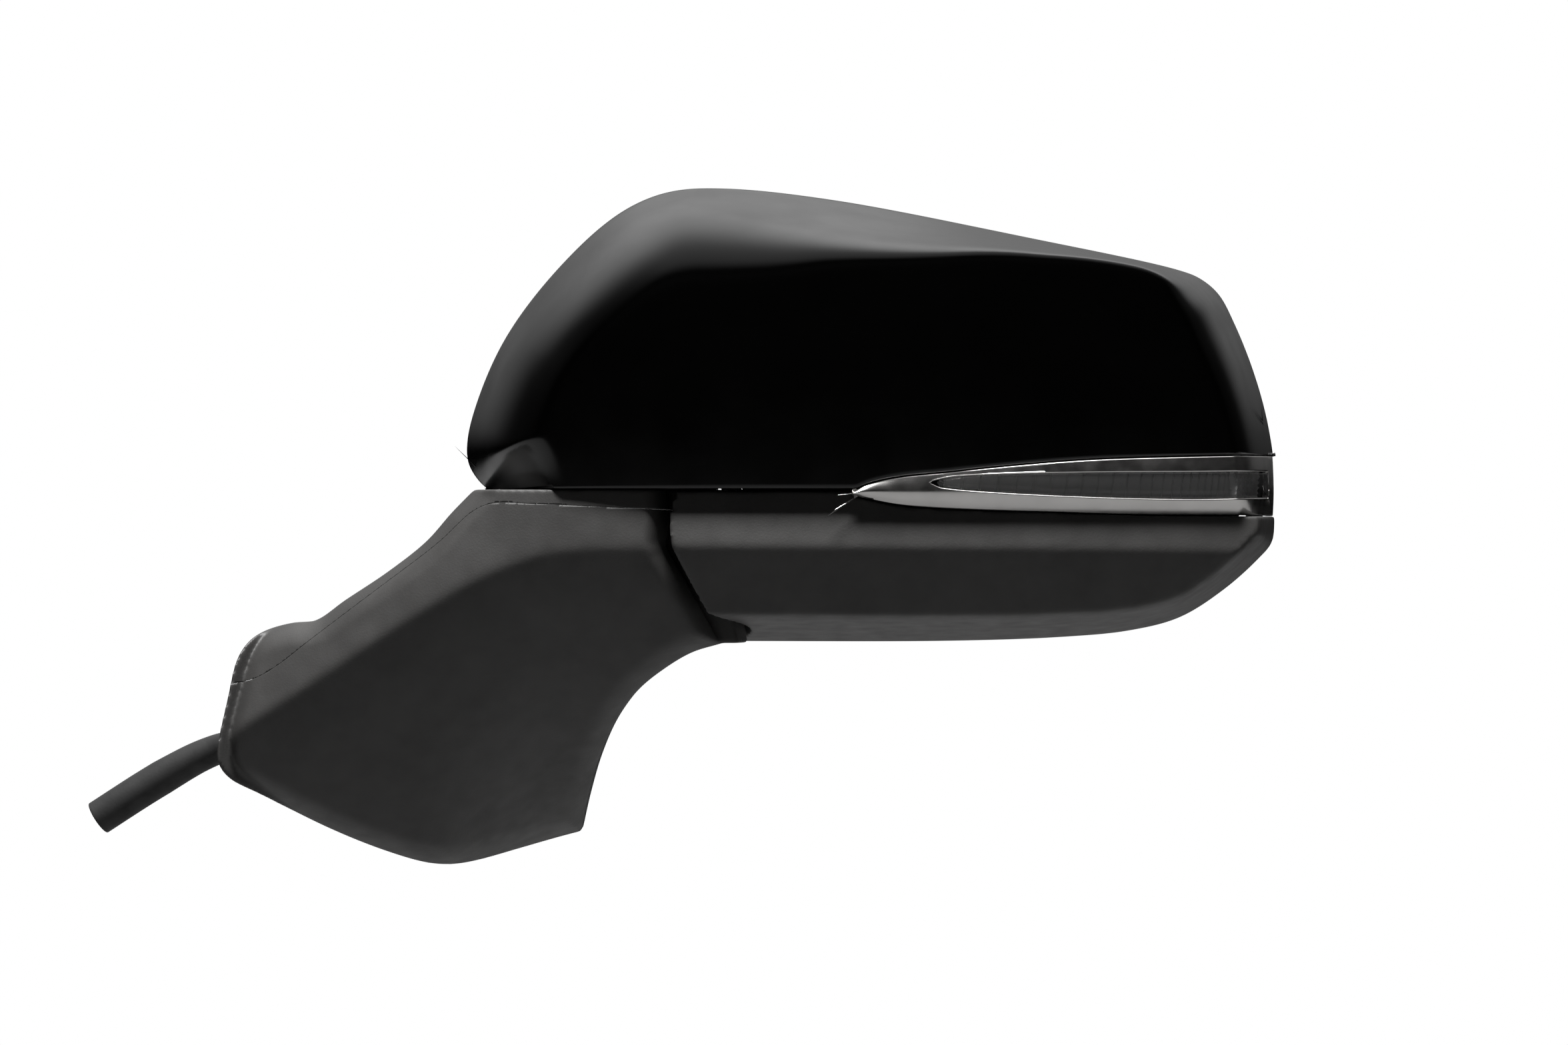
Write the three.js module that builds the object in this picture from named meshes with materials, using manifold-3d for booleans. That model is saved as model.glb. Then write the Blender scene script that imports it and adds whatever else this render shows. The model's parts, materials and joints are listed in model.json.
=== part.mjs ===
// A power-folding door mirror with a turn lamp, for the left door, as an assembly of its real pieces.
// Units are millimetres. +Z is up and +Y is the way the glass looks. The drawing frame has its origin
// on the fold axis, in the plane where the head turns on the foot; the whole assembly is then moved
// so that the exported frame has its origin on the door mounting pad.
import * as THREE from "three";
import { mergeVertices } from "three/addons/utils/BufferGeometryUtils.js";
import Module from "manifold-3d";

const wasm = await Module();
wasm.setup();

// ---------------------------------------------------------------- driving dimensions
const GAP = 0.3; // between pieces that touch
const WALL = 2.6; // moulded covers
const RIM_Y = 30; // rear rim of the head
const RIM_BAND = 6; // straight wall in front of the rim
const DOOR_ANGLE = 45; // the door's direction, from +X towards +Y, in degrees
const DOOR_START = [-110, -12]; // the door plane's front end, in x and y
const PAD_T = 74; // the mounting pad's place along the door
const PAD_Z = -80;
const TURRET_R = 50.6; // the foot's round top
const TURRET_SKIRT_R = 56.4;
const WAIST_Z = -17.7;
const TURRET_SIDE = [29.5, -18]; // the inboard and front limits of its outboard side, in x and y
const SKIRT_Z = -48;
const FOOT_TOP_Z = -0.1;
const FOLD_GAP = 1.6; // between the head and the foot
const SHAFT_R = 8;
const CLUTCH_GEAR_R = 14.6;
const CASE_R = 17;
const CASE_Z = [-11.4, 30];
const WORM_R = 3.9;
const WORM_X = CLUTCH_GEAR_R + 0.4 + WORM_R; // the fold worm's distance from the fold axis
const WORM_Z = 10;
const FOLD_MOTOR_R = 7.6;
const UNIT_HOLE_R = CASE_R + 1.2; // in the head's underside and the foot's top, round the fold unit
const PIVOT = [105, 14, 22]; // the glass gimbal's centre
const JACK_ARM = 30; // from the gimbal's centre to each jack
const JACK_BALL_R = 3.5;
const JACK_GEAR_R = 12;
const JACK_WORM_ARM = 15.5; // from a jack to the worm that turns it
const ACTUATOR = { x: 108, z: 26, radius: 42 };
const GLASS_Y = [24.2, 26.4];
const HEATER_Y = [23.2, 23.9];
const PLATE_Y = [20.4, 22.9];
const GLASS_GAP = 2.2; // between the glass and its bezel
const FRAME_Y = [-27, -23];
const CORD_D = 5.5;
const COIL_R = 27.5; // a turn of the stored harness, to its middle

const doorCos = Math.cos(THREE.MathUtils.degToRad(DOOR_ANGLE));
const doorSin = Math.sin(THREE.MathUtils.degToRad(DOOR_ANGLE));
const doorY = (x) => DOOR_START[1] + (x - DOOR_START[0]) * (doorSin / doorCos);

// ---------------------------------------------------------------- materials
const paint = (color, roughness, metalness = 0) =>
  new THREE.MeshStandardMaterial({ color, roughness, metalness });
const GLOSS_BLACK = paint(0x050505, 0.12);
const GRAINED_BLACK = paint(0x2a2a27, 0.6);
const INNER_BLACK = paint(0x1a1a1a, 0.7);
const SATIN_CHROME = paint(0xb9b6ae, 0.25, 1);
const CLEAR = paint(0xdfe3e0, 0.08);
const SILVERED = paint(0xe8eef0, 0.03, 1);
const STEEL = paint(0x9a9c9e, 0.35, 1);
const DIE_CAST = paint(0xa4a6a8, 0.5, 0.9);
const NATURAL = paint(0xe3dfd0, 0.5);
const BRASS = paint(0xb8924a, 0.35, 1);
const RUBBER = paint(0x141414, 0.85);
const FOAM = paint(0x2b2b2b, 0.95);
const BOARD = paint(0x1e6b3a, 0.5);
const HEATER_FILM = paint(0xc7762e, 0.5);
const PLUG_GREY = paint(0x8b8f92, 0.55);

// ---------------------------------------------------------------- solids
function toSolid(geometry) {
  const bare = new THREE.BufferGeometry();
  const source = geometry.index ? geometry.toNonIndexed() : geometry;
  bare.setAttribute("position", source.getAttribute("position"));
  const merged = mergeVertices(bare, 1e-3);
  return new wasm.Manifold(
    new wasm.Mesh({
      numProp: 3,
      vertProperties: merged.attributes.position.array,
      triVerts: new Uint32Array(merged.index.array),
    }),
  );
}

// Points listed three to a face, made solid whichever way round the faces are listed.
function fromFaces(points) {
  const make = (list) => {
    const geometry = new THREE.BufferGeometry();
    geometry.setAttribute("position", new THREE.Float32BufferAttribute(list.flat(), 3));
    return toSolid(geometry);
  };
  const solid = make(points);
  return solid.volume() > 0 ? solid : make([...points].reverse());
}

function toGeometry(solid) {
  const made = solid.getMesh();
  const points = new Float32Array(made.numVert * 3);
  for (let i = 0; i < made.numVert; i++) {
    points.set(made.vertProperties.subarray(i * made.numProp, i * made.numProp + 3), i * 3);
  }
  const geometry = new THREE.BufferGeometry();
  geometry.setAttribute("position", new THREE.BufferAttribute(points, 3));
  geometry.setIndex(new THREE.BufferAttribute(new Uint32Array(made.triVerts), 1));
  return geometry;
}

const placed = (geometry, x, y, z) => toSolid(geometry.translate(x, y, z));

// A round bar between two heights on an axis through a point. along is "x", "y" or "z".
function bar(along, [x, y, z], from, to, radius, sides = 32, endRadius = radius) {
  const made = new THREE.CylinderGeometry(endRadius, radius, to - from, sides);
  const middle = (from + to) / 2;
  if (along === "x") return placed(made.rotateZ(-Math.PI / 2), middle, y, z);
  if (along === "z") return placed(made.rotateX(Math.PI / 2), x, y, middle);
  return placed(made, x, middle, z);
}

function block([x0, x1], [y0, y1], [z0, z1]) {
  const made = new THREE.BoxGeometry(x1 - x0, y1 - y0, z1 - z0);
  return placed(made, (x0 + x1) / 2, (y0 + y1) / 2, (z0 + z1) / 2);
}

// A flat outline in x and z, made solid from one y to another.
function plate(points, [y0, y1]) {
  const shape = new THREE.Shape(points.map(([x, z]) => new THREE.Vector2(x, z)));
  const made = new THREE.ExtrudeGeometry(shape, { depth: y1 - y0, bevelEnabled: false });
  return toSolid(made.rotateX(Math.PI / 2).translate(0, y1, 0));
}

// The same for an outline in x and y, from one height to another.
function slabZ(points, [z0, z1]) {
  const shape = new THREE.Shape(points.map(([x, y]) => new THREE.Vector2(x, y)));
  const made = new THREE.ExtrudeGeometry(shape, { depth: z1 - z0, bevelEnabled: false });
  return toSolid(made.translate(0, 0, z0));
}

function lathe(profile, sides = 48) {
  const made = new THREE.LatheGeometry(profile.map(([r, z]) => new THREE.Vector2(r, z)), sides);
  return toSolid(made.rotateX(Math.PI / 2));
}

const ring = (inner, outer, z0, z1, sides = 40) =>
  bar("z", [0, 0, 0], z0, z1, outer, sides).subtract(bar("z", [0, 0, 0], z0 - 1, z1 + 1, inner, sides));

function gearOutline(teeth, root, tip) {
  const points = [];
  for (let i = 0; i < teeth; i++) {
    [[0, root], [0.3, root], [0.45, tip], [0.8, tip]].forEach(([share, radius]) => {
      const angle = ((i + share) / teeth) * 2 * Math.PI;
      points.push([radius * Math.cos(angle), radius * Math.sin(angle)]);
    });
  }
  return points;
}

// ---------------------------------------------------------------- curves and outlines
// A smooth value of x through given [x, value] pairs, level outside them.
function graph(pairs) {
  return (x) => {
    const last = pairs.length - 1;
    if (x <= pairs[0][0]) return pairs[0][1];
    if (x >= pairs[last][0]) return pairs[last][1];
    const i = pairs.findIndex((pair) => pair[0] > x) - 1;
    const [x0, v0] = pairs[i];
    const [x1, v1] = pairs[i + 1];
    const slope = (a, b) => (pairs[b][1] - pairs[a][1]) / (pairs[b][0] - pairs[a][0]);
    const m0 = i > 0 ? slope(i - 1, i + 1) : slope(i, i + 1);
    const m1 = i + 1 < last ? slope(i, i + 2) : slope(i, i + 1);
    const h = x1 - x0;
    const t = (x - x0) / h;
    return (
      v0 * (1 + 2 * t) * (1 - t) ** 2 +
      m0 * h * t * (1 - t) ** 2 +
      v1 * t * t * (3 - 2 * t) -
      m1 * h * t * t * (1 - t)
    );
  };
}

// count points spaced evenly along a smooth curve through the given ones.
function smooth(points, count, closed = false) {
  const curve = new THREE.CatmullRomCurve3(
    points.map(([x, z]) => new THREE.Vector3(x, 0, z)), closed, "centripetal",
  );
  return curve.getSpacedPoints(closed ? count : count - 1).slice(0, count).map((p) => [p.x, p.z]);
}

function distanceTo(outline, x, z) {
  let best = Infinity;
  let at = 0;
  for (let i = 0; i + 1 < outline.length; i++) {
    const [ax, az] = outline[i];
    const dx = outline[i + 1][0] - ax;
    const dz = outline[i + 1][1] - az;
    const t = Math.min(1, Math.max(0, ((x - ax) * dx + (z - az) * dz) / (dx * dx + dz * dz)));
    const far = Math.hypot(x - ax - t * dx, z - az - t * dz);
    if (far < best) {
      best = far;
      at = ax + t * dx;
    }
  }
  return { best, at };
}

// The smaller of two values, rounded over where they are within reach of each other.
function softMin(a, b, reach) {
  const h = Math.max(reach - Math.abs(a - b), 0) / reach;
  return Math.min(a, b) - (h * h * reach) / 4;
}

// Each point of a closed outline, listed anticlockwise, moved inwards.
function inset(outline, by) {
  const n = outline.length;
  return outline.map(([x, z], i) => {
    const [ax, az] = outline[(i + n - 1) % n];
    const [bx, bz] = outline[(i + 1) % n];
    const long = Math.hypot(bx - ax, bz - az) || 1;
    return [x - (by * (bz - az)) / long, z + (by * (bx - ax)) / long];
  });
}

// A closed solid over an outline seen from the front, from front(x, z) back to back(x, z), as rings
// drawn in towards a centre and closer together at the edge.
function relief(outline, centre, front, back, rings, backRings = rings) {
  const points = [];
  const faces = [];
  const n = outline.length;
  const layer = (height, count) => {
    const first = points.length;
    for (let k = 0; k < count; k++) {
      const scale = 1 - (k / count) ** 1.7;
      outline.forEach(([x, z]) => {
        const atX = centre[0] + (x - centre[0]) * scale;
        const atZ = centre[1] + (z - centre[1]) * scale;
        points.push([atX, height(atX, atZ), atZ]);
      });
    }
    points.push([centre[0], height(...centre), centre[1]]);
    return first;
  };
  const cover = (first, count, flip) => {
    const face = (a, b, c) => faces.push(flip ? [a, c, b] : [a, b, c]);
    for (let k = 0; k < count; k++) {
      for (let i = 0; i < n; i++) {
        const a = first + k * n + i;
        const b = first + k * n + ((i + 1) % n);
        if (k === count - 1) {
          face(a, b, first + count * n);
        } else {
          face(a, b, b + n);
          face(a, b + n, a + n);
        }
      }
    }
  };
  const frontAt = layer(front, rings);
  const backAt = layer(back, backRings);
  cover(frontAt, rings, false);
  cover(backAt, backRings, true);
  for (let i = 0; i < n; i++) {
    const j = (i + 1) % n;
    faces.push([frontAt + i, backAt + j, frontAt + j], [frontAt + i, backAt + i, backAt + j]);
  }
  return fromFaces(faces.flat().map((i) => points[i]));
}

// A round section swept along a curve.
function sweep(points, radius, sides, steps) {
  const path = new THREE.CatmullRomCurve3(points, false, "centripetal");
  const section = new THREE.Shape();
  section.absarc(0, 0, radius, 0, 2 * Math.PI);
  const options = { steps, curveSegments: sides / 2, extrudePath: path, bevelEnabled: false };
  return toSolid(new THREE.ExtrudeGeometry(section, options));
}

// ---------------------------------------------------------------- the head's outline and front
// Seen from the front, anticlockwise from the head's inboard lower corner round the bottom and the
// outboard end, over the top and back.
const CAP_EDGE = [
  [225, 0], [224.3, 8], [221.5, 24], [217.5, 38], [212, 52], [206.5, 62.5], [200.5, 67.6], [194, 70.2],
  [146, 80.6], [84, 92.6], [50, 96.3], [33, 95.6], [21, 91.6], [9, 83.6], [-9, 65.2], [-21.5, 47.5],
  [-29.5, 29.5], [-33, 16], [-32.6, 8.5], [-29, 2.6], [-26, 0],
];
const LOWER_EDGE = [
  [48.5, -48], [121, -47.9], [156, -46.7], [178, -44.6], [194, -40.4], [208, -31.6], [219, -21.8],
  [223.4, -16.4], [224.3, -7],
];
const capOutline = smooth(CAP_EDGE, 46);
const lowerOutline = smooth(LOWER_EDGE, 18);
const CAP_LOW_Z = 0.4;
const LOWER_TOP_Z = -0.6;
const SEAM_X = [-20, -12, 0, 16, 36, 60, 90, 125, 160, 190, 208, 217];

const frontDepth = (x, z) => 76 - 0.0009 * (x - 70) ** 2 - 0.0015 * (z - 22) ** 2;
const capSlope = graph([
  [-20, 4.2], [45, 3.2], [73, 3.4], [114, 5], [146, 9], [180, 14], [202, 5.5], [225, 5],
]);
const capRound = graph([[-20, 44], [30, 40], [80, 18], [114, 12], [180, 10], [202, 24], [225, 26]]);

// How far the cap stands in front of the rim, less a wall's thickness where inner is one.
function capDepth(x, z, inner = 0) {
  const { best, at } = distanceTo(capOutline, x, Math.max(z, CAP_LOW_Z));
  const ramp = RIM_BAND + capSlope(at) * Math.max(best - inner, 0);
  return softMin(ramp, frontDepth(x, z) - inner, capRound(at));
}

const lowerCrease = (x) => WAIST_Z - 0.000045 * Math.max(x - 28, 0) ** 2;
const lowerEdge = [[10, -48], ...lowerOutline];

function lowerDepth(x, z, inner = 0) {
  const { best } = distanceTo(lowerEdge, x, z);
  const over = z - lowerCrease(x);
  const facet = frontDepth(x, 0) - 1.2 + (over > 0 ? -0.2 * over : 0.42 * over);
  return softMin(RIM_BAND + 7 * Math.max(best - inner, 0), facet - inner, 9);
}

// The cap's and the lower housing's regions seen from the front, down or up to a seam height.
const capRegion = (seam) => [
  ...SEAM_X.map((x) => [x, seam]), [225, seam], ...capOutline.slice(1), [-26, seam],
];
const lowerRegion = (seam) => [
  [31, seam], [33, WAIST_Z], ...lowerOutline, [224.8, seam],
  ...[...SEAM_X].reverse().filter((x) => x > 31).map((x) => [x, seam]),
];

// The foot's round top, grown by a gap, as the head's pieces see it.
const turret = (gap) =>
  lathe([
    [0, SKIRT_Z - 12], [TURRET_SKIRT_R + gap + 2, SKIRT_Z - 12], [TURRET_SKIRT_R + gap, SKIRT_Z],
    [TURRET_R + gap, WAIST_Z], [TURRET_R + gap, FOOT_TOP_Z + gap], [0, FOOT_TOP_Z + gap],
  ]);

// The lamp's bounds on the front: the trim's upper and lower edges, and the lens's within it.
const TRIM_FROM = 88;
const LENS_FROM = 113.5;
const trimTop = graph([
  [88, -1.4], [94, 1.6], [104, 3.8], [118, 5.2], [134, 6.9], [156, 8.8], [176, 9.8], [226, 11],
]);
const trimLow = graph([[88, -1.4], [104, -4.6], [125, -6], [154, -6.9], [176, -7.6], [226, -8]]);
const lensTop = graph([[113.5, 2.4], [120, 3.8], [135, 4.6], [166, 5.2], [198, 5.4], [226, 5.8]]);
const lensLow = graph([[113.5, 2.2], [117, 0.8], [135, -0.8], [166, -2.3], [198, -2.9], [226, -2]]);

// A region between two graphs, as an outline listed anticlockwise.
function between(low, top, from, to, grow = 0) {
  const steps = 16;
  const xs = Array.from({ length: steps + 1 }, (_, i) => from + ((to - from) * i) / steps);
  const under = xs.map((x) => [x, low(x) - grow]);
  const over = xs.map((x) => [x, top(x) + grow]).reverse();
  return [...under, ...over.filter(([x, z]) => z - low(x) > 0.05)];
}

function headShells() {
  const capMiddle = [95, 34];
  const lowMiddle = [125, -24];
  const open = 6; // how far each shell's inside runs on past the seam and the rim
  const rim = () => RIM_Y;
  const past = () => RIM_Y + open;
  const outer = relief(capRegion(CAP_LOW_Z), capMiddle, (x, z) => RIM_Y - capDepth(x, z), rim, 7, 1);
  const inner = relief(
    inset(capRegion(CAP_LOW_Z - open), WALL), capMiddle, (x, z) => RIM_Y - capDepth(x, z, WALL), past, 6, 1,
  );
  const low = relief(lowerRegion(LOWER_TOP_Z), lowMiddle, (x, z) => RIM_Y - lowerDepth(x, z), rim, 6, 1);
  const lowInner = relief(
    inset(lowerRegion(LOWER_TOP_Z + open), WALL), lowMiddle, (x, z) => RIM_Y - lowerDepth(x, z, WALL), past, 5, 1,
  );
  const lampSpace = plate(between(trimLow, trimTop, TRIM_FROM, 232, GAP), [-60, RIM_Y + open]);
  const lowSpace = lowInner.subtract(turret(FOLD_GAP + WALL));
  return {
    cap: outer.subtract(inner).subtract(lampSpace).subtract(bar("z", [0, 0, 0], -2, 34, CASE_R + 0.6, 28)),
    lower: low.subtract(lowSpace).subtract(lampSpace).subtract(turret(FOLD_GAP)),
  };
}

// ---------------------------------------------------------------- the lamp
const lampSurface = (x, z) => {
  const outline = z > 0 ? capDepth(x, Math.max(z, 0.5)) : Math.max(capDepth(x, 0.5), lowerDepth(x, z));
  return RIM_Y - outline;
};

// The lamp's pieces lie along x from its inboard tip round the outboard end; front gives their face.
function lampPiece(low, top, from, to, raise, thick, columns = 18, rows = 3) {
  const points = [];
  const grid = [];
  for (let side = 0; side < 2; side++) {
    grid[side] = [];
    for (let i = 0; i <= columns; i++) {
      const x = from + ((to - from) * i) / columns;
      grid[side][i] = [];
      for (let j = 0; j <= rows; j++) {
        const z = low(x) + ((top(x) - low(x)) * j) / rows;
        const bulge = raise * Math.sin((Math.PI * j) / rows);
        grid[side][i][j] = points.length;
        points.push([x, lampSurface(Math.min(x, 222.5), z) - bulge + (side ? thick : 0), z]);
      }
    }
  }
  const faces = [];
  const quad = (a, b, c, d) => faces.push(a, b, c, a, c, d);
  for (let i = 0; i < columns; i++) {
    for (let j = 0; j < rows; j++) {
      const [f, g] = [grid[0], grid[1]];
      quad(f[i][j], f[i + 1][j], f[i + 1][j + 1], f[i][j + 1]);
      quad(g[i][j], g[i][j + 1], g[i + 1][j + 1], g[i + 1][j]);
    }
    quad(grid[0][i][0], grid[1][i][0], grid[1][i + 1][0], grid[0][i + 1][0]);
    quad(grid[0][i + 1][rows], grid[1][i + 1][rows], grid[1][i][rows], grid[0][i][rows]);
  }
  for (let j = 0; j < rows; j++) {
    quad(grid[0][0][j], grid[0][0][j + 1], grid[1][0][j + 1], grid[1][0][j]);
    quad(grid[0][columns][j], grid[1][columns][j], grid[1][columns][j + 1], grid[0][columns][j + 1]);
  }
  return fromFaces(faces.map((i) => points[i]));
}

const shifted = (curve, by) => (x) => curve(x) + by;
const LAMP_END = 222.6;

function lampPieces() {
  const whole = lampPiece(trimLow, trimTop, TRIM_FROM + 1.5, LAMP_END, 1, 3, 20, 4);
  const window = plate(between(lensLow, lensTop, LENS_FROM, 232, 0.2), [-60, RIM_Y]);
  const trim = whole.subtract(window);
  const lens = lampPiece(
    shifted(lensLow, GAP), shifted(lensTop, -GAP), LENS_FROM + 2, LAMP_END - 0.4, 0.4, 2.2, 16, 3,
  );
  const inward = (solid, by) => solid.translate([0, by, 0]);
  const guide = inward(
    lampPiece(shifted(lensLow, 1.2), shifted(lensTop, -1.2), LENS_FROM + 9, LAMP_END - 15, 0, 3, 12, 2), 3.4,
  );
  const housing = inward(
    lampPiece(shifted(trimLow, 1.5), shifted(trimTop, -1.5), TRIM_FROM + 9, LAMP_END - 19, 0, 2, 12, 2), 9.6,
  );
  const board = inward(
    lampPiece(shifted(lensLow, 0.4), shifted(lensTop, -0.4), LENS_FROM + 12, LAMP_END - 19, 0, 1.6, 10, 2), 7.2,
  );
  return { trim, lens, guide, housing, board };
}

// ---------------------------------------------------------------- the glass and its bezel
const GLASS_EDGE = [
  [12, 48], [12.6, 58], [18.6, 68], [31, 78], [48, 84], [64, 85], [84, 82.6], [146, 71], [187, 62],
  [200, 56.6], [207.5, 42], [212, 24], [214, 4], [213, -8], [206, -19], [194, -29], [176, -35],
  [150, -37.2], [118, -37.2], [102, -33.5],
];
const glassOutline = smooth(GLASS_EDGE, 48, true).reverse();

const BEZEL_THICK = 3;

// The head's rear rim, with the notch that clears the foot's round top.
const rimOutline = (() => {
  const clear = (radius) => Math.sqrt((radius + FOLD_GAP) ** 2 - (RIM_Y - BEZEL_THICK) ** 2);
  const notch = clear(TURRET_R);
  return [
    [5, CAP_LOW_Z], [notch, CAP_LOW_Z], [notch, WAIST_Z], [clear(TURRET_SKIRT_R), SKIRT_Z + 1],
    ...lowerOutline.slice(1), ...capOutline,
  ];
})();

function bezel() {
  const flange = 18; // how far forward the wall round the glass reaches, as a y
  const opening = inset(glassOutline, -GLASS_GAP);
  const panel = plate(inset(rimOutline, WALL + 3 * GAP), [RIM_Y - BEZEL_THICK, RIM_Y]);
  const wall = plate(inset(opening, -1.6), [flange, RIM_Y]);
  return panel.add(wall).subtract(plate(opening, [0, RIM_Y + 5])).subtract(turret(FOLD_GAP + WALL + GAP));
}

// ---------------------------------------------------------------- the glass actuator
const [PX, PY, PZ] = PIVOT;
const JACKS = {
  vertical: { x: PX, z: PZ + JACK_ARM },
  horizontal: { x: PX + JACK_ARM, z: PZ },
};
const EAR = [13.6, 17.6]; // the pivot ears, from the gimbal's centre
const actuatorDisc = (from, to, radius) => bar("y", [ACTUATOR.x, 0, ACTUATOR.z], from, to, radius, 36);
const CASE_FRONT = FRAME_Y[1] + 0.5;

function actuatorCase() {
  const wall = 2;
  return actuatorDisc(CASE_FRONT, -6, ACTUATOR.radius)
    .subtract(actuatorDisc(CASE_FRONT + wall, -5, ACTUATOR.radius - wall));
}

function actuatorLid() {
  const wall = 2;
  let lid = actuatorDisc(-6 + GAP, 3, ACTUATOR.radius).subtract(actuatorDisc(-7, 1, ACTUATOR.radius - wall));
  for (const side of [-1, 1]) {
    const ear = EAR.map((reach) => PX + side * reach).sort((a, b) => a - b);
    lid = lid.add(block(ear, [2, PY + 3.4], [PZ - 4, PZ + 4]));
  }
  lid = lid.subtract(bar("x", [0, PY, PZ], PX - 20, PX + 20, 2.4, 16));
  for (const { x, z } of Object.values(JACKS)) {
    lid = lid.subtract(bar("y", [x, 0, z], -7, 5, 3.6, 16));
  }
  return lid;
}

function gimbalRing() {
  const hoop = bar("y", [PX, 0, PZ], PY - 2.4, PY + 2.4, 11.6, 28)
    .subtract(bar("y", [PX, 0, PZ], PY - 4, PY + 4, 7.6, 28));
  const across = bar("x", [0, PY, PZ], PX - EAR[1] + 0.6, PX + EAR[1] - 0.6, 2, 12);
  const up = bar("z", [PX, PY, 0], PZ - EAR[1] + 0.6, PZ + EAR[1] - 0.6, 2, 12);
  const middle = bar("y", [PX, 0, PZ], PY - 4, PY + 4, 9, 28);
  return hoop.add(across.add(up).subtract(middle));
}

function jack({ x, z }) {
  const rod = bar("y", [x, 0, z], -16, PY - 1, 2.5, 14);
  return rod.add(placed(new THREE.SphereGeometry(JACK_BALL_R, 14, 10), x, PY, z));
}

function jackGear({ x, z }) {
  const outline = gearOutline(20, JACK_GEAR_R - 1.1, JACK_GEAR_R).map(([a, b]) => [a + x, b + z]);
  const hub = bar("y", [x, 0, z], -17, -6.5, 5, 18);
  return plate(outline, [-13.5, -8.5]).add(hub).subtract(bar("y", [x, 0, z], -22, 0, 2.95, 14));
}

// A worm as ridges along a spindle, centred on the origin and running along +Y.
function wormAt(length, tip, pitch, sides = 12) {
  const core = tip - 0.9;
  const profile = [[0, -length / 2], [core, -length / 2]];
  for (let y = -length / 2 + 1; y < length / 2 - pitch; y += pitch) {
    profile.push([core, y], [tip, y + 0.3 * pitch], [tip, y + 0.6 * pitch], [core, y + 0.9 * pitch]);
  }
  profile.push([core, length / 2], [0, length / 2]);
  return new THREE.LatheGeometry(profile.map(([r, y]) => new THREE.Vector2(r, y)), sides);
}

const JACK_WORM_LONG = 16;
const MOTOR_LONG = 22;
const TILT_MOTOR_R = 6.3;
const TILT_DRIVE_Y = -11;

function tiltWorms() {
  const tip = JACK_WORM_ARM - JACK_GEAR_R - 0.4;
  const made = () => wormAt(JACK_WORM_LONG, tip, 2.6);
  return {
    vertical: toSolid(
      made().rotateZ(-Math.PI / 2).translate(PX, TILT_DRIVE_Y, JACKS.vertical.z - JACK_WORM_ARM),
    ),
    horizontal: toSolid(
      made().rotateX(Math.PI / 2).translate(JACKS.horizontal.x - JACK_WORM_ARM, TILT_DRIVE_Y, PZ),
    ),
  };
}

function tiltMotors() {
  const start = JACK_WORM_LONG / 2 + GAP;
  const upper = [0, TILT_DRIVE_Y, JACKS.vertical.z - JACK_WORM_ARM];
  const side = [JACKS.horizontal.x - JACK_WORM_ARM, TILT_DRIVE_Y, 0];
  return {
    vertical: bar("x", upper, PX - start - MOTOR_LONG, PX - start, TILT_MOTOR_R, 18),
    horizontal: bar("z", side, PZ - start - MOTOR_LONG, PZ - start, TILT_MOTOR_R, 18),
  };
}

function backingPlate() {
  const [front, back] = PLATE_Y;
  let made = plate(inset(glassOutline, 1.4), PLATE_Y);
  for (const side of [-1, 1]) {
    const ear = EAR.map((reach) => PZ + side * reach).sort((a, b) => a - b);
    made = made.add(block([PX - 4, PX + 4], [PY - 3.4, back - 1], ear));
  }
  made = made.subtract(bar("z", [PX, PY, 0], PZ - 20, PZ + 20, 2.4, 16));
  for (const { x, z } of Object.values(JACKS)) {
    const socket = bar("y", [x, 0, z], PY - 4.2, back - 1, 6, 20);
    made = made.add(socket).subtract(bar("y", [x, 0, z], PY - 6, front, JACK_BALL_R + 0.6, 20));
  }
  return made;
}

// ---------------------------------------------------------------- the head's frame and fold drive
function headFrame() {
  let made = plate(
    [[-4, 4], [54, 4], [60, -22], [146, -24], [150, -10], [152, 14], [172, 24], [148, 56], [96, 66], [44, 64],
      [16, 50], [-2, 30]],
    FRAME_Y,
  );
  const windows = [
    [[44, 8], [60, 4], [60, 46], [48, 54], [34, 50], [32, 30]],
    [[153, 22], [162, 26], [150, 44]],
  ];
  for (const window of windows) made = made.subtract(plate(window, [-30, -20]));
  const motorHole = bar("y", [WORM_X, 0, WORM_Z], -30, -20, FOLD_MOTOR_R + 0.8, 24);
  return made.subtract(actuatorDisc(-30, -20, 24)).subtract(motorHole);
}

function gearCase() {
  const [low, high] = CASE_Z;
  const hollowR = CASE_R - 1.8;
  const round = bar("z", [0, 0, 0], low, high, CASE_R, 32);
  const box = block([4, WORM_X + 6.7], [-13.2, 16], [WORM_Z - 6.4, WORM_Z + 6.4]);
  const foot = block([-3, 10], [FRAME_Y[1] + GAP, -12], [18.4, 29]);
  const hollow = bar("z", [0, 0, 0], low + 2.4, high + 2, hollowR, 32);
  const shaftHole = bar("z", [0, 0, 0], low - 2, low + 3, SHAFT_R + 0.6, 28);
  const tunnel = bar("y", [WORM_X, 0, WORM_Z], -14, 14, WORM_R + 0.9, 20);
  const bearing = bar("y", [WORM_X, 0, WORM_Z], 12, 20, 1.9, 12);
  return round.add(box).add(foot).subtract(hollow).subtract(shaftHole).subtract(tunnel)
    .subtract(bearing);
}

function foldWorm() {
  const worm = wormAt(22, WORM_R, 2.75).translate(WORM_X, 0, WORM_Z);
  return toSolid(worm).add(bar("y", [WORM_X, 0, WORM_Z], 10, 17, 1.5, 12));
}

const SEAT_Z = -22; // the shaft's flange stands here on the bracket

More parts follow.
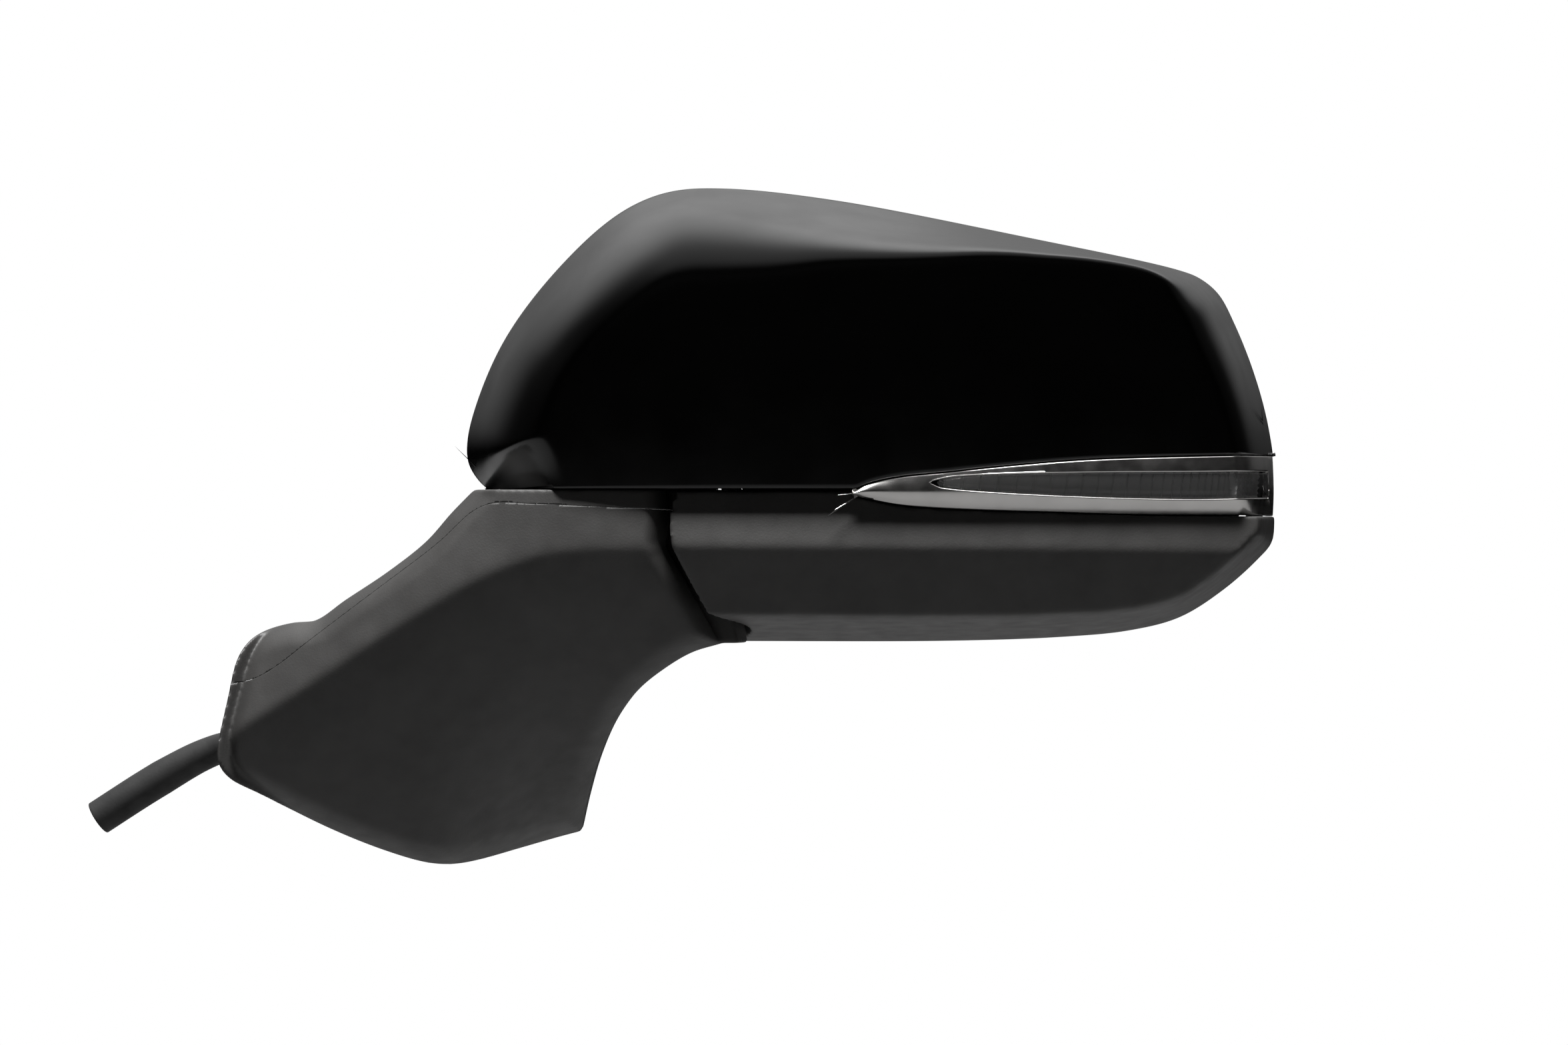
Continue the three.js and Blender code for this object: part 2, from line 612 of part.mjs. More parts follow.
function foldShaft() {
  const tube = bar("z", [0, 0, 0], SEAT_Z, 36, SHAFT_R, 28);
  const flange = bar("z", [0, 0, 0], SEAT_Z, SEAT_Z + 4, 18, 32);
  return tube.add(flange).subtract(bar("z", [0, 0, 0], -30, 50, 5, 20));
}

function detentRing() {
  let made = ring(SHAFT_R + 0.6, 17, SEAT_Z + 4.3, -13.6, 32);
  for (let i = 0; i < 3; i++) {
    const angle = (i / 3) * 2 * Math.PI;
    made = made.add(bar("z", [13 * Math.cos(angle), 13 * Math.sin(angle), 0], -14, -11.8, 2.4, 12, 1.4));
  }
  return made;
}

function clutchGear() {
  const wheel = slabZ(gearOutline(24, CLUTCH_GEAR_R - 1.1, CLUTCH_GEAR_R), [WORM_Z - 4, WORM_Z + 4]);
  return wheel.subtract(bar("z", [0, 0, 0], 0, 20, SHAFT_R + GAP, 28));
}

const SPRING_LONG = 10;
const SPRING_R = 11.4;

function clutchSpring() {
  const turns = 3.5;
  const around = 12;
  const steps = around * turns;
  const points = Array.from({ length: steps + 1 }, (_, i) => {
    const angle = (i / around) * 2 * Math.PI;
    const height = WORM_Z + 5.5 + (SPRING_LONG * i) / steps;
    return new THREE.Vector3(SPRING_R * Math.cos(angle), SPRING_R * Math.sin(angle), height);
  });
  return sweep(points, 1.1, 6, steps);
}

// The plate that closes the head over the foot, with the fold unit's hole.
function undersidePlate() {
  const xs = [-20.5, -15, -6, 6, 20, 34, 47];
  const front = xs.map((x) => [x, RIM_Y - capDepth(x, 1, WALL) + 9]);
  const outline = [...front, [47, 21.5], [-20.5, 21.5]];
  return slabZ(outline, [0.25, 1.8]).subtract(bar("z", [0, 0, 0], -2, 6, UNIT_HOLE_R, 32));
}

// ---------------------------------------------------------------- the foot
const FOOT_EDGE = [
  [31, FOOT_TOP_Z], [32, -10], [31, WAIST_Z], [48, -48.2], [39, -51], [30, -56.4], [22, -63], [14.5, -73], [9, -85],
  [5, -98], [2, -110.4], [-18, -115.8], [-31, -119], [-38, -119.9], [-46, -119.2], [-60, -114.6],
  [-77, -107], [-96, -96.6], [-107, -90], [-110, -84.5], [-109.6, -79], [-107, -66], [-104, -53],
  [-100.5, -47.5], [-96, -44.4], [-88, -42], [-79.5, -41], [-70, -34.6], [-56, -25.4], [-44, -16],
  [-36, -7], [-28.5, 0.6],
];
const footOutline = [
  ...FOOT_EDGE.slice(0, 4),
  ...smooth(FOOT_EDGE.slice(3, 11), 10).slice(1),
  ...smooth(FOOT_EDGE.slice(10, 32), 32).slice(1).map(([x, z]) => [x, Math.min(z, FOOT_TOP_Z)]),
  [-14, FOOT_TOP_Z], [6, FOOT_TOP_Z],
].reverse();
const footEdge = footOutline.slice(2, -3);
const footCrease = graph([
  [-112, -81], [-100, -73.3], [-77, -58.6], [-60, -47.2], [-38, -33.4], [-22, -25], [-6, -19.4], [12, -17.8],
  [34, -17.7],
]);
const creaseDepth = graph([[-112, 12], [-100, 18], [-60, 31], [-38, 36.5], [0, 41], [30, 42]]);
const footBend = graph([[-90, 0.0062], [-44, 0.005], [0, 0.0082], [48, 0.004]]);

function footFront(x, z) {
  const over = z - footCrease(x);
  const soft = Math.sqrt(over * over + 9) - 3;
  const facet = over > 0
    ? creaseDepth(x) - (0.12 + 0.004 * Math.max(-x, 0)) * soft
    : creaseDepth(x) - 0.38 * soft - footBend(x) * over * over;
  const { best } = distanceTo(footEdge, x, z);
  const front = -softMin(facet, facet - 9 + 2.4 * best, 9);
  return Math.min(front, doorY(x) - 4);
}

// The back of the arm, which widens towards the bottom until the door plane ends it.
const footRear = (x, z) => {
  const drop = Math.max(-z, 0);
  return Math.min(30 + 0.22 * drop + 0.75 * Math.max(drop - 48, 0), doorY(x));
};

const FOOT_SEAM = [
  [-116, -61.5], [-105.8, -61], [-98, -59], [-91, -55], [-80, -46.5], [-60, -31.5], [-40, -16.5], [-29, -6.6],
  [-23, -4.2], [-10, -4.4], [32, -6.2], [70, -7],
];

function footShells() {
  const centre = [-44, -62];
  const beyond = 14; // how far the inside runs on through the door plane
  const back = (x, z) => Math.max(footRear(x, z), footFront(x, z) + 2);
  const clipped = relief(footOutline, centre, footFront, back, 7, 4).intersect(turretKeep());
  const outer = clipped.add(turretSide(0, FOOT_TOP_Z));
  const opensBehind = (x, z) => footRear(x, z) > doorY(x) - 1;
  const innerBack = (x, z) => (opensBehind(x, z) ? doorY(x) + beyond : footRear(x, z) - WALL);
  const innerFront = (x, z) => footFront(x, z) + WALL * 1.25;
  const inner = relief(inset(footOutline, WALL), centre, innerFront, innerBack, 5, 4)
    .add(turretSide(-WALL, FOOT_TOP_Z - WALL));
  const unitHole = bar("z", [0, 0, 0], -30, 5, UNIT_HOLE_R + 0.5, 32);
  const shell = outer.subtract(inner).subtract(unitHole);
  const seam = smooth(FOOT_SEAM, 24);
  const half = GAP / 2;
  const above = plate([...seam.map(([x, z]) => [x, z + half]), [70, 20], [-116, 20]], [-70, 130]);
  const below = plate(
    [[-130, -130], [70, -130], ...[...seam].reverse().map(([x, z]) => [x, z - half])], [-70, 130],
  );
  return { top: shell.intersect(above), low: shell.intersect(below) };
}

// The outboard side of the foot's round top, which the head hides, or its hollow where gap is a wall.
function turretSide(gap, top) {
  const [inboard, front] = TURRET_SIDE;
  const side = block([inboard + gap, 60], [front - gap, RIM_Y + gap], [SKIRT_Z - gap, top]);
  return turret(gap).intersect(side);
}

// What the foot may fill under the head: everything within the turret, or below its skirt.
function turretKeep() {
  const below = block([-140, 80], [-80, 140], [-140, SKIRT_Z - 0.4]);
  const inboard = slabZ([[-140, -80], [-8, -80], [-8, 0], [-30, 140], [-140, 140]], [-140, 1]);
  return turret(0).add(below).add(inboard);
}

// ---------------------------------------------------------------- the door side
// Door pieces are drawn with x along the door, y into it and z up, and turned into place.
const doorLocal = (solid) =>
  solid.rotate([0, 0, DOOR_ANGLE]).translate([DOOR_START[0], DOOR_START[1], 0]);
const doorPoint = (t, z, into = 0) => [
  DOOR_START[0] + t * doorCos - into * doorSin,
  DOOR_START[1] + t * doorSin + into * doorCos,
  z,
];
const STUDS = [
  { name: "stud_front", t: 44, z: -64 },
  { name: "stud_rear", t: 120, z: -96 },
  { name: "stud_lower", t: 70, z: -95 },
];
const STUD_R = 3;
const GROMMET = { t: 21, z: -77 };
const baseOutline = smooth(
  [[9, -68], [8, -79], [16, -90], [41, -100.5], [71, -110.5], [102, -115], [133, -111], [145, -106.5], [142, -99],
    [124, -85], [104.6, -71], [85, -59], [69, -50], [57, -46], [43, -48.5], [26, -52], [14, -58]], 36, true,
);

function baseBracket() {
  const panel = plate(inset(baseOutline, 4.4), [-6.5, 0]);
  let made = panel;
  for (const { t, z } of STUDS) made = made.add(bar("y", [t, 0, z], -12, 0, 7, 20));
  for (const { t, z } of STUDS) made = made.subtract(bar("y", [t, 0, z], -8, 2, STUD_R + 1 + GAP, 16));
  made = made.subtract(bar("y", [GROMMET.t, 0, GROMMET.z], -20, 2, 6, 20));
  return doorLocal(made).add(armSolid());
}

// The bracket's arm, from the panel up to the seat of the fold shaft.
function armSolid() {
  const top = SEAT_Z - GAP;
  const seat = bar("z", [0, 0, 0], top - 12, top, 18, 28);
  const section = new THREE.Shape([[-12, -10], [12, -10], [12, 10], [-12, 10]].map((p) => new THREE.Vector2(...p)));
  const path = new THREE.CatmullRomCurve3([
    new THREE.Vector3(...doorPoint(PAD_T, PAD_Z, -2)), new THREE.Vector3(-34, 15, -62),
    new THREE.Vector3(-14, 3, -45), new THREE.Vector3(-2, 0, top - 11),
  ]);
  const limb = toSolid(new THREE.ExtrudeGeometry(section, { steps: 7, extrudePath: path, bevelEnabled: false }))
    .subtract(block([-60, 60], [-60, 60], [top, 20]))
    .subtract(doorLocal(block([0, 200], [-4, 60], [-140, 0])));
  return seat.add(limb).subtract(bar("z", [0, 0, 0], -60, 0, 5, 20));
}

function gasket() {
  const outer = plate(inset(baseOutline, 0.6), [-3, -0.2]);
  const inner = plate(inset(baseOutline, 4), [-5, 2]);
  return doorLocal(outer.subtract(inner));
}

function stud({ t, z }) {
  const root = bar("y", [t, 0, z], -7.7, 0, STUD_R + 1, 16);
  return doorLocal(root.add(bar("y", [t, 0, z], -2, 22, STUD_R, 24)));
}

function grommet() {
  const { t, z } = GROMMET;
  const profile = [[3.05, -9], [5.6, -9], [5.6, 0.3], [8, 0.3], [8, 3], [4.4, 8.6], [3.4, 8.6], [3.4, 5], [3.05, 3]];
  const made = new THREE.LatheGeometry([...profile, profile[0]].map(([r, y]) => new THREE.Vector2(r, y)), 28);
  return doorLocal(toSolid(made.translate(t, 0, z)));
}

// ---------------------------------------------------------------- the harness
const HARNESS_ROUTE = [
  doorPoint(GROMMET.t, GROMMET.z, 9.4), [-107, 13.5, -80.6], [-112.5, 16.6, -82.4], [-119, 18.7, -85.2],
  [-127, 20.4, -89.6], [-136, 22, -95], [-144, 26, -99.6], [-148, 34, -102], [-144.5, 42, -100.5],
  [-136.5, 46.2, -95.6], [-127, 47, -90.2], [-118, 47.6, -86.2], [-109, 48.6, -85.6], [-100.6, 51.4, -89.5],
];
const SLEEVE_ROUTE = [
  [-108, 14.2, -81], [-112.5, 16.6, -82.4], [-119, 18.7, -85.2], [-127, 20.4, -89.6], [-136, 22, -95],
  [-150.6, 24.4, -104.4],
];
const COIL_CENTRE = doorPoint(80, -72, 30);
const asVectors = (route) => route.map((p) => new THREE.Vector3(...p));

// The slit sleeve: a C-shaped section swept along its route, open on the side away from the front.
function sleeve() {
  const path = new THREE.CatmullRomCurve3(asVectors(SLEEVE_ROUTE), false, "centripetal");
  const steps = 12;
  const opening = 0.95; // half the slit, in radians
  const arcSteps = 8;
  const loops = [];
  for (let i = 0; i <= steps; i++) {
    const at = path.getPointAt(i / steps);
    const along = path.getTangentAt(i / steps);
    const side = new THREE.Vector3(0, 1, 0).cross(along).normalize();
    const behind = along.clone().cross(side).normalize();
    const grow = Math.min(1, i / 6);
    const radii = [3.15 + 0.6 * grow, 3.85 + 0.9 * grow];
    const loop = [];
    radii.forEach((radius, k) => {
      for (let j = 0; j <= arcSteps; j++) {
        const share = k ? 1 - j / arcSteps : j / arcSteps;
        const angle = opening + share * (2 * Math.PI - 2 * opening);
        const point = at.clone()
          .addScaledVector(behind, radius * Math.cos(angle))
          .addScaledVector(side, radius * Math.sin(angle));
        loop.push([point.x, point.y, point.z]);
      }
    });
    loops.push(loop);
  }
  return skin(loops);
}

// A closed solid through open-ended loops, each capped as a strip between its two halves.
function skin(loops) {
  const faces = [];
  const n = loops[0].length;
  const tri = (a, b, c) => faces.push(a, b, c);
  for (let i = 0; i + 1 < loops.length; i++) {
    for (let j = 0; j < n; j++) {
      const k = (j + 1) % n;
      tri(loops[i][j], loops[i][k], loops[i + 1][k]);
      tri(loops[i][j], loops[i + 1][k], loops[i + 1][j]);
    }
  }
  for (const [loop, flip] of [[loops[0], true], [loops[loops.length - 1], false]]) {
    for (let j = 0; j + 1 < n / 2; j++) {
      const quad = [loop[j], loop[j + 1], loop[n - 2 - j], loop[n - 1 - j]];
      const [a, b, c, d] = flip ? quad.reverse() : quad;
      tri(a, b, c);
      tri(a, c, d);
    }
  }
  return fromFaces(faces);
}

function coil() {
  const [inner, outer] = [COIL_R - CORD_D / 2, COIL_R + CORD_D / 2];
  const half = CORD_D + 0.2;
  const profile = [[inner, -half], [outer, -half], [outer, half], [inner, half], [inner, -half]];
  const made = new THREE.LatheGeometry(profile.map(([r, y]) => new THREE.Vector2(r, y)), 40);
  const turned = toSolid(made).rotate([0, 0, DOOR_ANGLE]);
  return turned.translate(COIL_CENTRE);
}

function plug() {
  const body = block([-13, 13], [-5.5, 5.5], [-8, 8]).add(block([-6, 10], [5, 7.5], [-3, 3]));
  const turned = body.rotate([0, 0, DOOR_ANGLE]);
  return turned.translate(COIL_CENTRE);
}

// ---------------------------------------------------------------- the assembly
const assembly = new THREE.Group();
const pad = doorPoint(PAD_T, PAD_Z);
assembly.position.set(-pad[0], -pad[1], -pad[2]);

function add(name, solid, material) {
  const mesh = new THREE.Mesh(toGeometry(solid), material);
  mesh.name = name;
  assembly.add(mesh);
}

const shells = headShells();
const foot = footShells();
const lamp = lampPieces();
const worms = tiltWorms();
const motors = tiltMotors();

add("cap_cover", shells.cap, GLOSS_BLACK);
add("lower_housing", shells.lower, GRAINED_BLACK);
add("lamp_trim", lamp.trim, SATIN_CHROME);
add("lamp_lens", lamp.lens, CLEAR);
add("lamp_light_guide", lamp.guide, CLEAR);
add("lamp_led_board", lamp.board, BOARD);
add("lamp_housing", lamp.housing, INNER_BLACK);
add("glass_bezel", bezel(), GRAINED_BLACK);
add("underside_plate", undersidePlate(), INNER_BLACK);
add("head_frame", headFrame(), INNER_BLACK);
add("fold_gear_case", gearCase(), INNER_BLACK);
add("fold_case_lid", ring(SHAFT_R + 0.6, CASE_R, CASE_Z[1] + GAP, CASE_Z[1] + 3.2), INNER_BLACK);
add("fold_motor", bar("y", [WORM_X, 0, WORM_Z], -36, -13.6, FOLD_MOTOR_R, 24), STEEL);
add("fold_worm", foldWorm(), BRASS);
add("fold_shaft", foldShaft(), STEEL);
add("fold_detent_ring", detentRing(), STEEL);
add("fold_clutch_gear", clutchGear(), STEEL);
add("fold_clutch_spring", clutchSpring(), STEEL);
add("fold_spring_retainer", ring(SHAFT_R + GAP, 13.6, 27.2, 29.2), STEEL);
add("actuator_case", actuatorCase(), INNER_BLACK);
add("actuator_lid", actuatorLid(), NATURAL);
for (const [way, place] of Object.entries(JACKS)) {
  add(`tilt_motor_${way}`, motors[way], STEEL);
  add(`tilt_worm_${way}`, worms[way], BRASS);
  add(`jack_gear_${way}`, jackGear(place), NATURAL);
  add(`jack_${way}`, jack(place), NATURAL);
}
add("gimbal_ring", gimbalRing(), NATURAL);
add("glass_backing_plate", backingPlate(), INNER_BLACK);
add("glass_heater_pad", plate(inset(glassOutline, 3), HEATER_Y), HEATER_FILM);
add("mirror_glass", plate(glassOutline, GLASS_Y), SILVERED);
add("foot_cover", foot.low, GRAINED_BLACK);
add("foot_top_cover", foot.top, GRAINED_BLACK);
add("base_bracket", baseBracket(), DIE_CAST);
add("door_gasket", gasket(), FOAM);
for (const place of STUDS) add(place.name, stud(place), STEEL);
add("harness_grommet", grommet(), RUBBER);
add("harness_cord", sweep(asVectors(HARNESS_ROUTE), CORD_D / 2, 8, 36), RUBBER);
add("harness_sleeve", sleeve(), RUBBER);
add("harness_coil", coil(), RUBBER);
add("harness_plug", plug(), PLUG_GREY);

export default assembly;
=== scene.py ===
"""A power-folding car door mirror with a turn lamp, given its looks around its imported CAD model.

The row frame is in metres. The shapes are drawn in millimetres in a drawing frame whose origin lies on
the fold axis, in the plane where the head turns on the foot, and row() moves them into the row frame.
"""
import json
import math

import bpy
import numpy as np
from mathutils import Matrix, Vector


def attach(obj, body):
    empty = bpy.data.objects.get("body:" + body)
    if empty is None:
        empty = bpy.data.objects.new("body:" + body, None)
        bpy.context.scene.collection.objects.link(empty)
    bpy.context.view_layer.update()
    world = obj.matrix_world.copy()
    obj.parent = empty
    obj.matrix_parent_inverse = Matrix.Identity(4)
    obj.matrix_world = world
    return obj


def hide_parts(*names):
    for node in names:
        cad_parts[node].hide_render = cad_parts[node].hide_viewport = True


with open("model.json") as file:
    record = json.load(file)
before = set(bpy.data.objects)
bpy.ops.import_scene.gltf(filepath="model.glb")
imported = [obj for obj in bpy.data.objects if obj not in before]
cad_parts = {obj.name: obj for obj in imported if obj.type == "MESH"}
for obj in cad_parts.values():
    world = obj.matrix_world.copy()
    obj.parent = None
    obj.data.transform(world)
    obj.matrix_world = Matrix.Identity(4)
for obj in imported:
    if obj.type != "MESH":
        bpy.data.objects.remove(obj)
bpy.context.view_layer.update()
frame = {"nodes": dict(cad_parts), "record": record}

MM = 0.001
JOINTS = {joint["name"]: joint for joint in frame["record"]["behaviour"]["joints"]}
DRAWING_ORIGIN = np.array(JOINTS["fold"]["pos_m"])

# ------------------------------------------------------------ driving dimensions, in mm
GAP = 0.3
WALL = 2.6
RIM_Y = 30
RIM_BAND = 6
TURRET_R = 50.6
TURRET_SKIRT_R = 56.4
WAIST_Z = -17.7
SKIRT_Z = -48
TURRET_SIDE = (29.5, -18)  # the inboard and front limits of its outboard side, in x and y
FOOT_TOP_Z = 0.1  # the CAD's is -0.1: a narrower gap shows less light under the cap
FOLD_GAP = 1.6
UNIT_HOLE_R = 18.7
CAP_LOW_Z = 0.25
LOWER_TOP_Z = -0.3
CORD_D = 5.5
COIL_R = 27.5
LENS_FROM = 113.5
DOOR_START = np.array([-110.0, -12.0])
HALF = math.sqrt(0.5)  # sine and cosine of the door's 45 degrees


def row(points):
    """Drawing-frame millimetres to row-frame metres."""
    return np.asarray(points, float) * MM + DRAWING_ORIGIN


def door_point(along, z, into=0):
    """A drawing-frame point from its place along the door plane, its height and its depth behind it."""
    return [DOOR_START[0] + (along - into) * HALF, DOOR_START[1] + (along + into) * HALF, z]


def door_y(x):
    """Where the door plane lies."""
    return DOOR_START[1] + (x - DOOR_START[0])


# ------------------------------------------------------------ curves and outlines
def graph(*pairs):
    """A smooth value of x through [x, value] pairs, level outside them."""
    xs, values = np.array(pairs, float).T
    slopes = np.empty(len(xs))
    slopes[1:-1] = (values[2:] - values[:-2]) / (xs[2:] - xs[:-2])
    slopes[0] = (values[1] - values[0]) / (xs[1] - xs[0])
    slopes[-1] = (values[-1] - values[-2]) / (xs[-1] - xs[-2])

    def value(x):
        x = np.clip(x, xs[0], xs[-1])
        i = np.clip(np.searchsorted(xs, x, side="right") - 1, 0, len(xs) - 2)
        width = xs[i + 1] - xs[i]
        t = (x - xs[i]) / width
        rise = slopes[i] * width * t * (1 - t) ** 2 - slopes[i + 1] * width * t * t * (1 - t)
        return values[i] * (1 + 2 * t) * (1 - t) ** 2 + values[i + 1] * t * t * (3 - 2 * t) + rise

    return value


def spaced(points, count):
    """count points spaced evenly along a polyline."""
    points = np.asarray(points, float)
    steps = np.linalg.norm(np.diff(points, axis=0), axis=1)
    length = np.concatenate([[0], np.cumsum(steps)])
    wanted = np.linspace(0, length[-1], count)
    return np.stack([np.interp(wanted, length, axis) for axis in points.T], axis=1)


def smooth(points, count, closed=False):
    """count points spaced evenly along a centripetal spline through the given ones."""
    given = np.array(points, float)
    if closed:
        given = np.vstack([given[-1:], given, given[:2]])
    else:
        given = np.vstack([2 * given[0] - given[1], given, 2 * given[-1] - given[-2]])
    dense = []
    for p0, p1, p2, p3 in zip(given, given[1:], given[2:], given[3:]):
        spans = ((p0, p1), (p1, p2), (p2, p3))
        knots = np.cumsum([0] + [max(np.linalg.norm(b - a), 1e-9) ** 0.5 for a, b in spans])
        t = np.linspace(knots[1], knots[2], 16, endpoint=False)[:, None]

        def mix(a, b, low, high):
            return ((knots[high] - t) * a + (t - knots[low]) * b) / (knots[high] - knots[low])

        a1, a2, a3 = mix(p0, p1, 0, 1), mix(p1, p2, 1, 2), mix(p2, p3, 2, 3)
        dense.append(mix(mix(a1, a2, 0, 2), mix(a2, a3, 1, 3), 1, 2))
    dense.append(given[-2:-1])
    even = spaced(np.vstack(dense), count + 1 if closed else count)
    return even[:-1] if closed else even


def nearest(outline, x, z):
    """The distance from each point to a polyline."""
    best = np.full(np.shape(x), np.inf)
    for (ax, az), (bx, bz) in zip(outline[:-1], outline[1:]):
        dx, dz = bx - ax, bz - az
        t = np.clip(((x - ax) * dx + (z - az) * dz) / (dx * dx + dz * dz), 0, 1)
        best = np.minimum(best, np.hypot(x - ax - t * dx, z - az - t * dz))
    return best


def soft_min(a, b, reach):
    """The smaller of two values, rounded over where they are within reach of each other."""
    near = np.maximum(reach - np.abs(a - b), 0) / reach
    return np.minimum(a, b) - near * near * reach / 4


def inset(outline, by):
    """Each point of a closed outline, listed anticlockwise, moved inwards."""
    outline = np.asarray(outline, float)
    along = np.roll(outline, -1, axis=0) - np.roll(outline, 1, axis=0)
    along /= np.linalg.norm(along, axis=1)[:, None]
    return outline + by * np.stack([-along[:, 1], along[:, 0]], axis=1)


# ------------------------------------------------------------ the head's outlines and fronts
CAP_EDGE = [
    [225, 0], [224.3, 8], [221.5, 24], [217.5, 38], [212, 52], [206.5, 62.5], [200.5, 67.6], [194, 70.2],
    [146, 80.6], [84, 92.6], [50, 96.3], [33, 95.6], [21, 91.6], [9, 83.6], [-9, 65.2], [-21.5, 47.5],
    [-29.5, 29.5], [-33, 16], [-32.6, 8.5], [-29, 2.6], [-26, 0],
]
LOWER_EDGE = [
    [48.5, -48], [121, -47.9], [156, -46.7], [178, -44.6], [194, -40.4], [208, -31.6], [219, -21.8],
    [223.4, -16.4], [224.3, -7],
]
cap_outline = smooth(CAP_EDGE, 240)
lower_outline = smooth(LOWER_EDGE, 90)
lower_edge = np.vstack([[[10, -48]], lower_outline])

cap_slope = graph(
    [-20, 4.2], [45, 3.2], [73, 3.4], [114, 5], [146, 9], [180, 14], [202, 5.5], [225, 5]
)
cap_round = graph([-20, 44], [30, 40], [80, 18], [114, 12], [180, 10], [202, 24], [225, 26])

trim_top = graph(
    [88, -1.4], [94, 1.6], [104, 3.8], [118, 5.2], [134, 6.9], [156, 8.8], [176, 9.8], [226, 11]
)
trim_low = graph([88, -1.4], [104, -4.6], [125, -6], [154, -6.9], [176, -7.6], [226, -8])
lens_top = graph([113.5, 2.4], [120, 3.8], [135, 4.6], [166, 5.2], [198, 5.4], [226, 5.8])
lens_low = graph([113.5, 2.2], [117, 0.8], [135, -0.8], [166, -2.3], [198, -2.9], [226, -2])


def front_depth(x, z):
    """How far the head's front stands in front of its rear rim, away from the edges."""
    return 76 - 0.0009 * (x - 70) ** 2 - 0.0015 * (z - 22) ** 2


def cap_depth(x, z, inner=0):
    """The same for the cap, which falls away towards its outline, less a wall where inner is one."""
    z = np.maximum(z, CAP_LOW_Z)
    front = front_depth(x, z) - inner
    depth = np.full(np.shape(front), np.inf)
    for (ax, az), (bx, bz) in zip(cap_outline[:-1], cap_outline[1:]):
        dx, dz = bx - ax, bz - az
        t = np.clip(((x - ax) * dx + (z - az) * dz) / (dx * dx + dz * dz), 0, 1)
        far = np.hypot(x - ax - t * dx, z - az - t * dz)
        middle = (ax + bx) / 2
        ramp = RIM_BAND + cap_slope(middle) * np.maximum(far - inner, 0)
        depth = np.minimum(depth, soft_min(ramp, front, cap_round(middle)))
    return depth


def lower_crease(x):
    return WAIST_Z - 0.000045 * np.maximum(x - 28, 0) ** 2


def lower_depth(x, z, inner=0):
    over = z - lower_crease(x)
    soft = np.sqrt(over * over + 1.5) - 1.2
    facet = front_depth(x, 0) - 1.2 - np.where(over > 0, 0.2, 0.42) * soft
    ramp = RIM_BAND + 7 * np.maximum(nearest(lower_edge, x, z) - inner, 0)
    return soft_min(ramp, facet - inner, 9)


def lamp_face(x, z):
    """The y of the lamp's front."""
    return RIM_Y - cap_depth(x, np.maximum(z, 0.5)) + 0.06 * np.minimum(z, 0) ** 2


# ------------------------------------------------------------ meshes
def new_object(name, points, faces):
    """A mesh object from drawing-frame points in mm."""
    mesh = bpy.data.meshes.new(name)
    mesh.from_pydata(row(points).tolist(), [], faces)
    mesh.update()
    made = bpy.data.objects.new(name, mesh)
    bpy.context.scene.collection.objects.link(made)
    return made


def bake(piece):
    """Puts the result of a piece's modifiers in its mesh."""
    graph_now = bpy.context.evaluated_depsgraph_get()
    mesh = bpy.data.meshes.new_from_object(piece.evaluated_get(graph_now))
    old = piece.data
    piece.modifiers.clear()
    piece.data = mesh
    bpy.data.meshes.remove(old)
    mesh.name = piece.name
    return piece


def combine(piece, other, operation):
    """piece with other joined to it, cut from it or kept where both are. other is used up."""
    cutter = piece.modifiers.new("combine", "BOOLEAN")
    cutter.operation = operation
    cutter.solver = "MANIFOLD"
    cutter.object = other
    bake(piece)
    bpy.data.objects.remove(other)
    return piece


def copy_of(piece):
    made = piece.copy()
    made.data = piece.data.copy()
    bpy.context.scene.collection.objects.link(made)
    return made


def moulded(piece, voxel, rounds):
    """Even small faces with rounded edges, as a moulded piece has. voxel is in mm."""
    remesh = piece.modifiers.new("remesh", "REMESH")
    remesh.mode = "VOXEL"
    remesh.voxel_size = voxel * MM * 1
    relax = piece.modifiers.new("relax", "SMOOTH")
    relax.factor = 0.5
    relax.iterations = rounds
    bake(piece)
    piece.data.shade_smooth()
    return piece


def walled(piece, thick, edge, angle=50):
    """A surface given a wall behind it and rounded rims. thick and edge are in mm."""
    wall = piece.modifiers.new("wall", "SOLIDIFY")
    wall.thickness = thick * MM
    wall.offset = -1
    rims = piece.modifiers.new("rims", "BEVEL")
    rims.width = edge * MM
    rims.segments = 3
    rims.limit_method = "ANGLE"
    rims.angle_limit = math.radians(angle)
    rims.use_clamp_overlap = False
    bake(piece)
    piece.data.shade_smooth()
    return piece


def grid_faces(lines, count):
    """The faces between neighbouring lines of count points each."""
    return [
        [i * count + j, (i + 1) * count + j, (i + 1) * count + j + 1, i * count + j + 1]
        for i in range(lines - 1)
        for j in range(count - 1)
    ]


def facing(piece, direction):
    """Turns a surface's faces so that they look towards direction on the whole."""
    total = sum((face.normal * face.area for face in piece.data.polygons), Vector())
    if total.dot(Vector(direction)) < 0:
        piece.data.flip_normals()
    return piece


def prism(name, outline, y_range):
    """A flat outline in x and z, made solid from one y to another."""
    n = len(outline)
    points = [[x, y, z] for y in y_range for x, z in outline]
    faces = [list(range(n)), list(range(n, 2 * n))[::-1]]
    faces += [[i, i + n, (i + 1) % n + n, (i + 1) % n] for i in range(n)]
    return outward(new_object(name, points, faces))


def outward(piece):
    """Turns a closed mesh's faces outwards."""
    corners = np.empty(len(piece.data.vertices) * 3)
    piece.data.vertices.foreach_get("co", corners)
    corners = corners.reshape(-1, 3)
    volume = 0
    for face in piece.data.polygons:
        volume += np.dot(corners[face.vertices[0]] - corners[0], np.array(face.normal)) * face.area
    if volume < 0:
        piece.data.flip_normals()
    return piece


